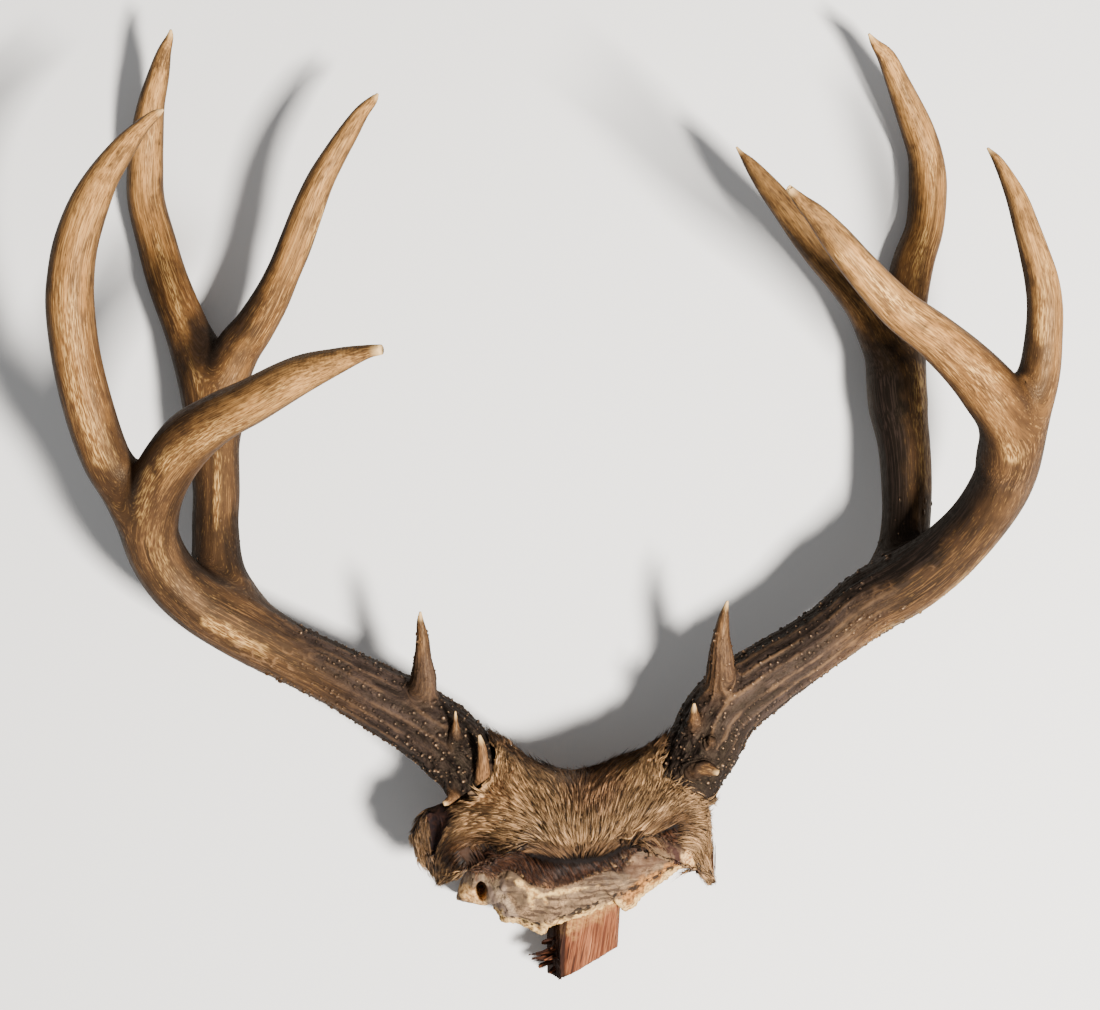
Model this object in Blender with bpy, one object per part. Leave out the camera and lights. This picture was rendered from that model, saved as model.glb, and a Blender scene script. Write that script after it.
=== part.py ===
"""A pair of four-point deer antlers on their sawn skull plate, with the hide of the forehead still on
it and the broken end of a wooden block behind it. The rack lies on its back: the sawn back of the
plate and the backs of the two tall tines touch the surface at z = 0, +Y points from the skull to the
tips, +Z is the side that the deer faces, and +X is the viewer's right.

Lengths are in millimetres here. They become metres where a mesh is made."""

import math
import random

import bmesh
import bpy
from mathutils import Vector

MM = 0.001

# Clearance between neighbouring pieces.
GAP = 0.3

# How finely the antlers are faceted: corners around them, and the distance between their rings.
TRUNK_SIDES, TRUNK_STEP = 16, 7.4
TINE_SIDES, TINE_STEP = 12, 13.0
TWIG_SIDES, TWIG_STEP = 8, 8.0

# The trunks carry raised pearls, low lengthwise ridges and a coronet of lumps at the burr.
PEARLS_ON_A_TRUNK, PEARL_SPACING, PEARL_TO_BRANCH = 46, 9.5, 9.0
PEARL_BASE_INSET, PEARL_SIDE_INSET, PEARL_RISE, PEARL_CROWN = 1.7, 0.6, 1.2, 0.5
RIDGES, RIDGE_SHARE, RIDGE_TWIST = 5, 0.04, 0.012
CORONET_LENGTH, CORONET_SHARE = 9.0, 0.16
# How far up an antler the skull and the hide are cut clear of it, and the extra room round it.
FOOT_LENGTH, FOOT_ROOM, TWIG_ROOM = 60.0, 4.2, 1.0

# Each route runs from the skull to a tip: x, y, z and the radius of the antler there.
# The two front beams start at the burr and so include the trunk, up to where they are split from it.
LEFT = {
    "beam": [
        (-41, -151, 50, 17.5), (-53, -135, 50, 20), (-70, -120, 50, 19.5), (-91, -108, 50, 18.5),
        (-117, -94, 51, 17), (-145, -80, 53, 16.5), (-172, -65, 56, 17.5), (-194.5, -51, 62, 16.8),
        (-209.5, -35.5, 70, 16), (-217.5, -17, 81, 15.6), (-215, 1, 95, 15.2), (-206.5, 18.5, 112, 15.3),
        (-191, 36, 130, 15), (-173, 47, 147, 13.4), (-154, 55, 163, 12.2), (-129, 67, 179, 10.5),
        (-108, 74, 191, 7), (-93, 78, 199, 4), (-85, 79, 203, 3),
    ],
    "outer": [
        (-219, -1, 90, 12), (-230, 12, 97, 13.5), (-238, 28, 107, 13.5), (-245, 53, 118, 13.5),
        (-250, 80, 127, 13), (-252, 105, 133, 13), (-251, 122, 136, 12.5), (-248, 138, 138, 12),
        (-242, 156, 138, 11), (-235, 172, 135, 9), (-225, 188, 131, 7), (-216, 200, 127, 4.5),
        (-209, 207, 124, 3), (-205, 210, 122, 1),
    ],
    "rear": [
        (-156, -74, 53, 11), (-173, -58, 48, 15.5), (-185, -37, 43, 15), (-188, -12, 39, 13.5),
        (-188, 10, 35, 13.5), (-190, 33, 31, 14.5), (-192, 56, 27, 16), (-197, 78, 23, 16),
        (-207, 101, 18, 13), (-218, 128, 14, 12), (-225, 151, 11.5, 11.5), (-231, 175, 11.5, 11),
        (-231, 195, 14, 10.5), (-229, 213, 19, 9.5), (-226, 228, 25, 8), (-221, 243, 32, 6.5),
        (-217, 254, 39, 4.5), (-213, 262, 44, 2.5), (-212, 266, 46, 1),
    ],
    "inner": [
        (-189, 50, 27, 13.5), (-185, 69, 29, 13.5), (-177, 88, 33, 13), (-167, 101, 38, 11.5),
        (-157, 116, 44, 10.5), (-149, 131, 50, 9.5), (-142, 146, 55, 9.5), (-135, 163, 60, 9),
        (-128, 179, 63, 8), (-120, 193, 65, 7), (-112, 206, 65, 6), (-105, 217, 64, 4.5),
        (-99, 224, 62, 3), (-96, 228, 61, 1),
    ],
    # Brow tine, then the slim spike, the horn finger and the nub beside the burr.
    "twigs": [
        [(-73, -105, 58, 8.5), (-71, -94, 63, 7.5), (-71, -82, 68, 5), (-71, -71, 72, 4),
         (-72, -62, 75, 2.5), (-72, -56, 77, 1)],
        [(-54, -137, 58, 4), (-53, -130, 66, 3.2), (-53, -121, 71, 2.6), (-53, -110, 75, 0.8)],
        [(-42, -150, 58, 6), (-39, -148, 68, 5), (-38, -138, 74, 4.5), (-38, -130, 76, 3),
         (-39, -123, 77, 1)],
        [(-42, -153, 52, 5), (-49, -157, 57, 4.5), (-55, -160, 61, 3.5), (-60, -162, 63, 1.5)],
    ],
}
RIGHT = {
    "beam": [
        (72, -152, 50, 18.5), (82, -134, 50, 20), (94, -112, 50, 19.5), (113, -96, 50, 18.5),
        (136, -81, 51, 17), (156, -67, 53, 16.5), (173, -53, 56, 17.5), (194, -41, 62, 18),
        (214, -25, 72, 17), (230, -6, 85, 16), (240, 14, 101, 16.5), (242, 32, 117, 16.5),
        (237, 48, 132, 16), (226, 61, 145, 15.5), (211, 75, 157, 13.5), (194, 88, 168, 12),
        (177, 99, 178, 11), (164, 110, 186, 10), (151, 123, 193, 9), (141, 134, 198, 8),
        (131, 145, 202, 6), (123, 152, 205, 4), (116, 159, 207, 2),
    ],
    "outer": [
        (240, 28, 117, 14.5), (246, 42, 125, 13), (250, 57, 132, 12), (253, 71, 138, 11),
        (254, 88, 144, 10), (254, 104, 148, 9.5), (252, 118, 150, 9), (248, 132, 151, 8),
        (244, 145, 151, 7), (240, 158, 150, 6), (235, 170, 148, 4.5), (230, 180, 146, 3),
        (225, 187, 144, 1),
    ],
    "rear": [
        (160, -65, 53, 11), (180, -51, 48, 15.5), (193, -30, 43, 15), (197, -9, 39, 14),
        (198, 13, 35, 14.5), (197, 36, 31, 15), (194, 58, 27, 16), (194, 78, 23, 16.5),
        (196, 98, 18, 15.5), (200, 118, 14, 13), (205, 140, 12, 12), (211, 158, 11.5, 11),
        (213, 174, 11.5, 11), (213, 188, 13, 11), (211, 201, 16, 10), (206, 214, 21, 9.5),
        (200, 226, 27, 8.5), (193, 239, 34, 7), (186, 251, 42, 5.5), (179, 258, 47, 3),
        (175, 263, 50, 1),
    ],
    "inner": [
        (195, 61, 27, 14), (191, 81, 29, 13.5), (183, 98, 33, 12.5), (174, 113, 38, 11),
        (162, 127, 44, 10), (149, 141, 49, 9.5), (138, 154, 54, 9), (127, 167, 57, 7.5),
        (117, 179, 59, 6), (109, 189, 60, 4), (104, 195, 60, 2), (101, 199, 60, 1),
    ],
    # Brow tine, then the nub, the round knob and the stout finger beside the burr.
    "twigs": [
        [(92, -105, 58, 9.5), (92, -92, 63, 8), (92, -80, 68, 6.5), (92, -70, 71, 5),
         (93, -60, 74, 3.5), (94, -54, 76, 2), (95, -50, 77, 1)],
        [(78, -122, 60, 4), (77, -116, 68, 3.4), (77, -111, 72, 2.6), (77, -106, 74, 1)],
        [(84, -132, 60, 3.6), (85, -128, 68, 3.2), (86, -125, 72, 1.6)],
        [(68, -146, 54, 6.5), (74, -143, 64, 6), (81, -141, 68, 5.5), (87, -142, 70, 3.5),
         (89, -142, 70, 1.6)],
    ],
}

# The point of each route that a split is nearest to. The piece below keeps a stub of each branch.
SPLITS = {
    "left": {"beam": (-218, -16), "outer": (-240, 34), "rear": (-188, -8), "inner": (-165, 105)},
    "right": {"beam": (222, -16), "outer": (254, 80), "rear": (197, -4), "inner": (170, 117)},
}

# The skull plate, seen from the front, clockwise from the sawn foot of the left eye socket.
PLATE_OUTLINE = [
    (-55, -221), (-52, -211), (-47, -203), (-40, -200), (-34, -190), (-35, -176), (-27, -165),
    (-13, -158), (18, -158), (49, -155), (64, -160), (75, -170), (80, -182), (82, -193), (79, -197),
    (70, -202), (62, -208), (56, -212), (51, -216), (46, -222), (41, -225), (36, -220), (29, -223),
    (17, -228), (6, -231), (-2, -234), (-7, -238), (-14, -234), (-21, -231), (-29, -231), (-32, -225),
    (-35, -220), (-39, -223),
]
PLATE_CENTRE = (16, -192)
PLATE_FLOORS = [(0.96, 0), (1.0, 6), (1.0, 36), (0.965, 45), (0.86, 53), (0.62, 59), (0.3, 62)]
EYE_SOCKET = ((-40, -213, 44), (4.2, 6.2, 22))
BRAIN_HOLLOW = ((10, -186, 0), (44, 23, 46))
# The bone falls away over the sawn foot of the left eye socket: where that starts, and its share.
FOOT_START, FOOT_SPAN, FOOT_SHARE = (-30, -196), (16, 20), 0.38
PEDICLE_RADIUS, PEDICLE_LENGTH = 15.0, 24.0

# The hide, seen from the front, clockwise from its upper left corner to the hair below it.
HIDE_OUTLINE = [
    (-40, -133), (-36, -126), (-29, -128), (-21, -132), (-13, -138), (-2, -143), (12, -144),
    (24, -142), (37, -137), (49, -133), (57, -130), (67, -135), (76, -143), (82, -152), (87, -165),
    (88, -178), (87, -191), (88, -205), (84, -200), (80, -192), (71, -186), (61, -183), (51, -192),
    (39, -200), (26, -205), (12, -209), (-4, -213), (-15, -210), (-22, -204), (-31, -197),
    (-43, -197), (-55, -198), (-63, -207), (-69, -199), (-76, -192), (-79, -178), (-73, -167),
    (-64, -162), (-52, -160), (-44, -149),
]
HIDE_CENTRE = (14, -172)
HIDE_BACK, HIDE_BACK_SHARE, HIDE_EDGE, HIDE_CROWN = 32, 0.93, 56, 84
HIDE_FLOORS = [0.97, 0.88, 0.74, 0.56, 0.34, 0.12]
# A crease runs across the hide above its lower fringe.
CREASE = [(-45, -179), (-29, -183), (-12, -189), (7, -193), (26, -192), (48, -182), (65, -173)]
CREASE_DEPTH, CREASE_WIDTH = 8.0, 7.0
EAR_HOLLOW = ((-67, -178, 66), (5, 11, 18))

# The block: four corners at its front, four at its back, and how far it reaches up behind the plate.
BLOCK_FRONT = [(4, -205), (36, -205), (35, -244), (4, -263)]
BLOCK_BACK = [(-4, -208), (40, -208), (37, -250), (-3, -265)]
BLOCK_FRONT_Z, BLOCK_BACK_Z, BLOCK_MIDDLE, BLOCK_ROOM = 42, 6, (18, -232), 2.0
# Splinters that stick out of its broken left end: root, tip and thickness.
SPLINTER_SIDES, SPLINTER_TIP = 4, 0.4
SPLINTERS = [
    ((2, -249, 26), (-14, -252, 22), 4.0),
    ((2, -254, 18), (-12, -257, 14), 3.4),
    ((2, -241, 30), (-7, -243, 31), 3.0),
]


# Colour and roughness of each finish.
DARK_ANTLER = ((0.07, 0.05, 0.04), 0.6)
TAN_ANTLER = ((0.30, 0.19, 0.10), 0.45)
DRY_BONE = ((0.42, 0.34, 0.26), 0.8)
HAIR = ((0.20, 0.13, 0.08), 0.9)
RED_WOOD = ((0.35, 0.16, 0.10), 0.7)

SHARP_EDGE = math.radians(50)


def clear_scene():
    for item in list(bpy.data.objects):
        bpy.data.objects.remove(item)


def finish(name, colour, roughness):
    """A plain Principled material. Nothing here is metal."""
    made = bpy.data.materials.new(name)
    made.use_nodes = True
    shader = made.node_tree.nodes["Principled BSDF"]
    shader.inputs["Base Color"].default_value = (*colour, 1.0)
    shader.inputs["Roughness"].default_value = roughness
    shader.inputs["Metallic"].default_value = 0.0
    return made


def object_from(bm, name, material=None):
    """The bmesh as an object in metres, shaded smooth, with its faces pointing out."""
    bmesh.ops.recalc_face_normals(bm, faces=bm.faces)
    for vertex in bm.verts:
        vertex.co *= MM
    mesh = bpy.data.meshes.new(name)
    bm.to_mesh(mesh)
    bm.free()
    mesh.shade_smooth()
    mesh.set_sharp_from_angle(angle=SHARP_EDGE)
    made = bpy.data.objects.new(name, mesh)
    bpy.context.collection.objects.link(made)
    if material:
        made.data.materials.append(material)
    return made


def boolean(target, tool, operation):
    """Joins a helper to the target, or cuts it away. The helper stays in the file, out of sight."""
    modifier = target.modifiers.new(operation.title() + " " + tool.name, "BOOLEAN")
    modifier.operation = operation
    modifier.solver = "EXACT"
    modifier.object = tool
    tool.hide_render = True
    tool.display_type = "WIRE"


# ---------------------------------------------------------------- routes


TANGENT_SPAN = 3.0  # the stretch of a route that its direction is taken over


def smooth_route(points, step=1.0):
    """A Catmull-Rom curve through the points, as (position, radius) about one step apart."""
    rows = [Vector(p) for p in points]
    rows = [rows[0] * 2 - rows[1]] + rows + [rows[-1] * 2 - rows[-2]]
    line = []
    for a, b, c, d in zip(rows, rows[1:], rows[2:], rows[3:]):
        pieces = max(1, round((c - b).xyz.length / step))
        for k in range(pieces):
            t = k / pieces
            line.append(
                0.5 * (2 * b + (c - a) * t + (2 * a - 5 * b + 4 * c - d) * t**2
                       + (3 * b - a - 3 * c + d) * t**3)
            )
    line.append(rows[-2])
    return [(p.xyz, p.w) for p in line]


def length_along(line):
    """The distance from the start of the route to each of its points."""
    reach = [0.0]
    for (a, _), (b, _) in zip(line, line[1:]):
        reach.append(reach[-1] + (b - a).length)
    return reach


def distance_at(line, place):
    """How far along the route the point nearest to a place in the front view lies."""
    nearest = min(range(len(line)), key=lambda i: (line[i][0].xy - Vector(place)).length)
    return length_along(line)[nearest]


def point_at(line, reach, distance):
    for k in range(1, len(line)):
        if reach[k] >= distance:
            t = (distance - reach[k - 1]) / (reach[k] - reach[k - 1])
            (a, ra), (b, rb) = line[k - 1], line[k]
            return a.lerp(b, t), ra + (rb - ra) * t
    return line[-1]


def stations(line, start, end, step):
    """Evenly spaced (distance, position, radius, direction) along a stretch of the route."""
    reach = length_along(line)
    end = min(end, reach[-1])
    count = max(2, round((end - start) / step))
    rows = []
    for k in range(count + 1):
        distance = start + (end - start) * k / count
        here, radius = point_at(line, reach, distance)
        before, _ = point_at(line, reach, max(0.0, distance - TANGENT_SPAN / 2))
        after, _ = point_at(line, reach, min(reach[-1], distance + TANGENT_SPAN / 2))
        rows.append((distance, here, radius, (after - before).normalized()))
    return rows


# ---------------------------------------------------------------- antlers


def ring_of(bm, place, radius, direction, side, sides, swell):
    """One ring of corners square to the direction. swell(angle) multiplies the radius."""
    side = (side - direction * side.dot(direction)).normalized()
    up = direction.cross(side)
    corners = []
    for k in range(sides):
        angle = math.tau * k / sides
        out = side * math.cos(angle) + up * math.sin(angle)
        corners.append(bm.verts.new(place + out * radius * swell(angle)))
    return corners, side


def tube(line, start, end, sides, step, shape=None, grow=0.0):
    """A bmesh tube along a stretch of a route, closed by a flat face at each end.

    shape(distance, angle) multiplies the radius, and grow adds to it."""
    bm = bmesh.new()
    side = Vector((0, 0, 1))
    rings = []
    for distance, place, radius, direction in stations(line, start, end, step):
        def swell(angle, distance=distance):
            return shape(distance, angle) if shape else 1.0
        ring, side = ring_of(bm, place, radius + grow, direction, side, sides, swell)
        rings.append(ring)
    for low, high in zip(rings, rings[1:]):
        for k in range(sides):
            after = (k + 1) % sides
            bm.faces.new((low[k], low[after], high[after], high[k]))
    bm.faces.new(list(reversed(rings[0])))
    bm.faces.new(rings[-1])
    return bm


def trunk_shape(seed):
    """Low lengthwise ridges along the trunk, and the lumps of the coronet round its foot."""
    rng = random.Random(seed)
    lumps = [rng.uniform(0.35, 1.0) for _ in range(TRUNK_SIDES)]

    def shape(distance, angle):
        ridge = 1 + RIDGE_SHARE * math.cos(RIDGES * angle + RIDGE_TWIST * distance * math.tau)
        lump = lumps[round(angle / math.tau * TRUNK_SIDES) % TRUNK_SIDES]
        fade = max(0.0, 1 - distance / CORONET_LENGTH)
        return ridge + lump * fade * CORONET_SHARE

    return shape


def raise_pearls(bm, keep_clear, seed):
    """Raises small round bumps on faces of the trunk, well apart and clear of its branches."""
    rng = random.Random(seed)
    faces = [f for f in bm.faces if len(f.verts) == 4]
    rng.shuffle(faces)
    chosen, places = [], []
    for face in faces:
        centre = face.calc_center_median()
        if any((centre - place).length < PEARL_SPACING for place in places):
            continue
        if any((centre - place).length < radius + PEARL_TO_BRANCH for place, radius in keep_clear):
            continue
        chosen.append(face)
        places.append(centre)
        if len(chosen) == PEARLS_ON_A_TRUNK:
            break
    bmesh.ops.inset_individual(bm, faces=chosen, thickness=PEARL_BASE_INSET, depth=0.0)
    bmesh.ops.inset_individual(bm, faces=chosen, thickness=PEARL_SIDE_INSET, depth=PEARL_RISE)
    bmesh.ops.poke(bm, faces=chosen, offset=PEARL_CROWN)


def antler(side, routes, seed):
    """The five pieces of one antler, split square to each branch just above its fork.

    Returns what the skull and the hide are cut clear of: the main route and the twigs."""
    lines = {key: smooth_route(routes[key]) for key in ("beam", "outer", "rear", "inner")}
    splits = {key: distance_at(lines[key], SPLITS[side][key]) for key in lines}
    whole = {key: length_along(lines[key])[-1] for key in lines}
    twigs = [smooth_route(points) for points in routes["twigs"]]

    stub = tube(lines["rear"], 0, splits["rear"], TINE_SIDES, TINE_STEP)
    stub = object_from(stub, side + "_rear_stub")
    shape = trunk_shape(seed)
    bm = tube(lines["beam"], 0, splits["beam"], TRUNK_SIDES, TRUNK_STEP, shape)
    bmesh.ops.recalc_face_normals(bm, faces=bm.faces)
    keep_clear = [row for twig in twigs for row in twig] + lines["rear"][::4]
    raise_pearls(bm, keep_clear, seed)
    trunk = object_from(bm, side + "_trunk", finish(side + "_trunk", *DARK_ANTLER))
    boolean(trunk, stub, "UNION")
    for number, twig in enumerate(twigs):
        bm = tube(twig, 0, length_along(twig)[-1], TWIG_SIDES, TWIG_STEP)
        boolean(trunk, object_from(bm, f"{side}_twig_{number + 1}"), "UNION")

    for name, key, branch in (("front_beam", "beam", "outer"), ("rear_beam", "rear", "inner")):
        name, tine = f"{side}_{name}", f"{side}_{branch}_tine"
        bm = tube(lines[key], splits[key] + GAP, whole[key], TINE_SIDES, TINE_STEP)
        beam = object_from(bm, name, finish(name, *TAN_ANTLER))
        bm = tube(lines[branch], 0, splits[branch], TINE_SIDES, TINE_STEP)
        boolean(beam, object_from(bm, f"{side}_{branch}_stub"), "UNION")
        bm = tube(lines[branch], splits[branch] + GAP, whole[branch], TINE_SIDES, TINE_STEP)
        object_from(bm, tine, finish(tine, *TAN_ANTLER))
    return lines["beam"], twigs


def clear_of_antlers(target, feet):
    """Cuts the foot of each antler, and the twigs beside it, out of the target."""
    for side, (line, twigs) in feet.items():
        name = f"{target.name}_{side}_room"
        room = tube(line, 0, FOOT_LENGTH, TRUNK_SIDES, TRUNK_STEP, grow=FOOT_ROOM)
        boolean(target, object_from(room, name), "DIFFERENCE")
        for number, twig in enumerate(twigs[1:]):
            whole = length_along(twig)[-1]
            room = tube(twig, 0, whole, TWIG_SIDES, TWIG_STEP, grow=TWIG_ROOM)
            boolean(target, object_from(room, f"{name}_{number + 1}"), "DIFFERENCE")


# ---------------------------------------------------------------- skull, hide and block


def ellipsoid(name, place_and_radii, around, up):
    place, radii = place_and_radii
    bm = bmesh.new()
    bmesh.ops.create_uvsphere(bm, u_segments=around, v_segments=up, radius=1.0)
    for vertex in bm.verts:
        vertex.co = Vector(place) + Vector(a * b for a, b in zip(vertex.co, radii))
    return object_from(bm, name)


def stack(outline, centre, floors, height):
    """A closed form of rings drawn in towards a centre. height(x, y, floor) gives a point's z."""
    bm = bmesh.new()
    rings = []
    for floor in floors:
        ring = []
        for x, y in outline:
            px = centre[0] + (x - centre[0]) * floor[0]
            py = centre[1] + (y - centre[1]) * floor[0]
            ring.append(bm.verts.new((px, py, height(px, py, floor))))
        rings.append(ring)
    count = len(outline)
    for low, high in zip(rings, rings[1:]):
        for k in range(count):
            after = (k + 1) % count
            bm.faces.new((low[k], low[after], high[after], high[k]))
    bm.faces.new(rings[0])
    top = bm.verts.new((*centre, height(*centre, floors[-1])))
    for k in range(count):
        bm.faces.new((rings[-1][k], rings[-1][(k + 1) % count], top))
    return bm


def plate_height(x, y, floor):
    """The plate's height, which falls away over the sawn foot of the left eye socket."""
    across = min(1.0, max(0.0, (FOOT_START[0] - x) / FOOT_SPAN[0]))
    down = min(1.0, max(0.0, (FOOT_START[1] - y) / FOOT_SPAN[1]))
    return floor[1] * (1 - FOOT_SHARE * across * down)


def pedicle(name, line, below=GAP, grow=0.0):
    """The stump of skull under an antler, which runs back from just below the foot of the burr."""
    reach = length_along(line)
    foot, _ = point_at(line, reach, 0.0)
    ahead, _ = point_at(line, reach, TANGENT_SPAN)
    back = (foot - ahead).normalized()
    start, end = foot + back * below, foot + back * (PEDICLE_LENGTH + grow)
    route = smooth_route([(*start, PEDICLE_RADIUS + grow), (*end, PEDICLE_RADIUS + grow)])
    return object_from(tube(route, 0, length_along(route)[-1], TINE_SIDES, TINE_STEP), name)


def skull_plate(feet):
    bm = stack(PLATE_OUTLINE, PLATE_CENTRE, PLATE_FLOORS, plate_height)
    plate = object_from(bm, "skull_plate", finish("skull_plate", *DRY_BONE))
    for side, (line, _) in feet.items():
        boolean(plate, pedicle(side + "_pedicle", line), "UNION")
    clear_of_antlers(plate, feet)
    boolean(plate, ellipsoid("brain_hollow", BRAIN_HOLLOW, 16, 10), "DIFFERENCE")
    boolean(plate, ellipsoid("eye_socket", EYE_SOCKET, 10, 6), "DIFFERENCE")
    room = block_mesh(grow=BLOCK_ROOM, back_z=-BLOCK_ROOM)
    boolean(plate, object_from(room, "block_room"), "DIFFERENCE")


def crease_at(x, y):
    """1 in the crease of the hide, falling to 0 at its sides."""
    here = Vector((x, y))
    gaps = []
    for a, b in zip(CREASE, CREASE[1:]):
        a, b = Vector(a), Vector(b)
        t = max(0.0, min(1.0, (here - a).dot(b - a) / (b - a).length_squared))
        gaps.append((here - a.lerp(b, t)).length)
    return math.exp(-((min(gaps) / CREASE_WIDTH) ** 2))


def hide_height(x, y, floor):
    """The hair tips stand highest in the middle of the forehead and lower over the fringe."""
    if floor[1] == "back":
        return HIDE_BACK
    crown = HIDE_EDGE + (HIDE_CROWN - HIDE_EDGE) * (1 - floor[0] ** 3)
    return crown - CREASE_DEPTH * crease_at(x, y)


def hide(feet):
    floors = [(HIDE_BACK_SHARE, "back"), (1.0, "edge")]
    floors += [(share, "front") for share in HIDE_FLOORS]
    bm = stack(HIDE_OUTLINE, HIDE_CENTRE, floors, hide_height)
    skin = object_from(bm, "hide", finish("hide", *HAIR))
    floors = [(share + 0.03, z + 1) for share, z in PLATE_FLOORS]
    room = stack(PLATE_OUTLINE, PLATE_CENTRE, floors, lambda x, y, floor: floor[1])
    boolean(skin, object_from(room, "plate_room"), "DIFFERENCE")
    clear_of_antlers(skin, feet)
    for side, (line, _) in feet.items():
        room = pedicle(side + "_pedicle_room", line, below=-5.0, grow=1.0)
        boolean(skin, room, "DIFFERENCE")
    boolean(skin, ellipsoid("ear_hollow", EAR_HOLLOW, 10, 6), "DIFFERENCE")


def block_mesh(grow=0.0, back_z=BLOCK_BACK_Z):
    """The block's back and front outlines joined, with each corner moved out by grow both ways."""
    bm = bmesh.new()
    rings = []
    for outline, z in ((BLOCK_BACK, back_z), (BLOCK_FRONT, BLOCK_FRONT_Z + grow)):
        ring = []
        for x, y in outline:
            x += math.copysign(grow, x - BLOCK_MIDDLE[0])
            y += math.copysign(grow, y - BLOCK_MIDDLE[1])
            ring.append(bm.verts.new((x, y, z)))
        rings.append(ring)
    for k in range(4):
        after = (k + 1) % 4
        bm.faces.new((rings[0][k], rings[0][after], rings[1][after], rings[1][k]))
    bm.faces.new(rings[0])
    bm.faces.new(rings[1])
    return bm


def wood_block():
    block = object_from(block_mesh(), "wood_block", finish("wood_block", *RED_WOOD))
    for number, (root, tip, thick) in enumerate(SPLINTERS):
        route = smooth_route([(*root, thick / 2), (*tip, SPLINTER_TIP)])
        bm = tube(route, 0, length_along(route)[-1], SPLINTER_SIDES, TWIG_STEP)
        boolean(block, object_from(bm, f"splinter_{number + 1}"), "UNION")


clear_scene()
feet = {"left": antler("left", LEFT, seed=11), "right": antler("right", RIGHT, seed=12)}
skull_plate(feet)
hide(feet)
wood_block()
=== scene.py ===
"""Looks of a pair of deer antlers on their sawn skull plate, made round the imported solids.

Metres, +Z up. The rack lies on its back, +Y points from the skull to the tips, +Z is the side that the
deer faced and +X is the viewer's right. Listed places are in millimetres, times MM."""

import itertools
import math

import bpy
import numpy as np
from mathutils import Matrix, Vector
from mathutils.bvhtree import BVHTree
from mathutils.kdtree import KDTree


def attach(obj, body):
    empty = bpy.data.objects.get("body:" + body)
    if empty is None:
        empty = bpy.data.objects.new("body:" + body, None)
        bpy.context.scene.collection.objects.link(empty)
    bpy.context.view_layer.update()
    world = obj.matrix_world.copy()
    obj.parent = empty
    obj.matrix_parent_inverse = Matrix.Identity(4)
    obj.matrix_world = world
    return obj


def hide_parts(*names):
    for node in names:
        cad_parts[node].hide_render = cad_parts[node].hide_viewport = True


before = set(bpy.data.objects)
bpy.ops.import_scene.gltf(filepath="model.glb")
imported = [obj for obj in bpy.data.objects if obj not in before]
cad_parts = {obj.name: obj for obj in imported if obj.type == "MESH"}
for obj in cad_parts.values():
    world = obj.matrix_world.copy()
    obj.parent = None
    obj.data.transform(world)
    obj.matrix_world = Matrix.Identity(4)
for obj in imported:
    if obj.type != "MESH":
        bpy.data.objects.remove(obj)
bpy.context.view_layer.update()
bpy.ops.object.select_all(action="DESELECT")


# ---------------------------------------------------------------- the antlers
# Each antler is one bone, grown in a summer from the burr on the skull to its tips. The trunk is dark,
# grooved and beaded with pearls. Rubbing has polished the beams and tines to a streaked golden tan.

MM = 0.001

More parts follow.
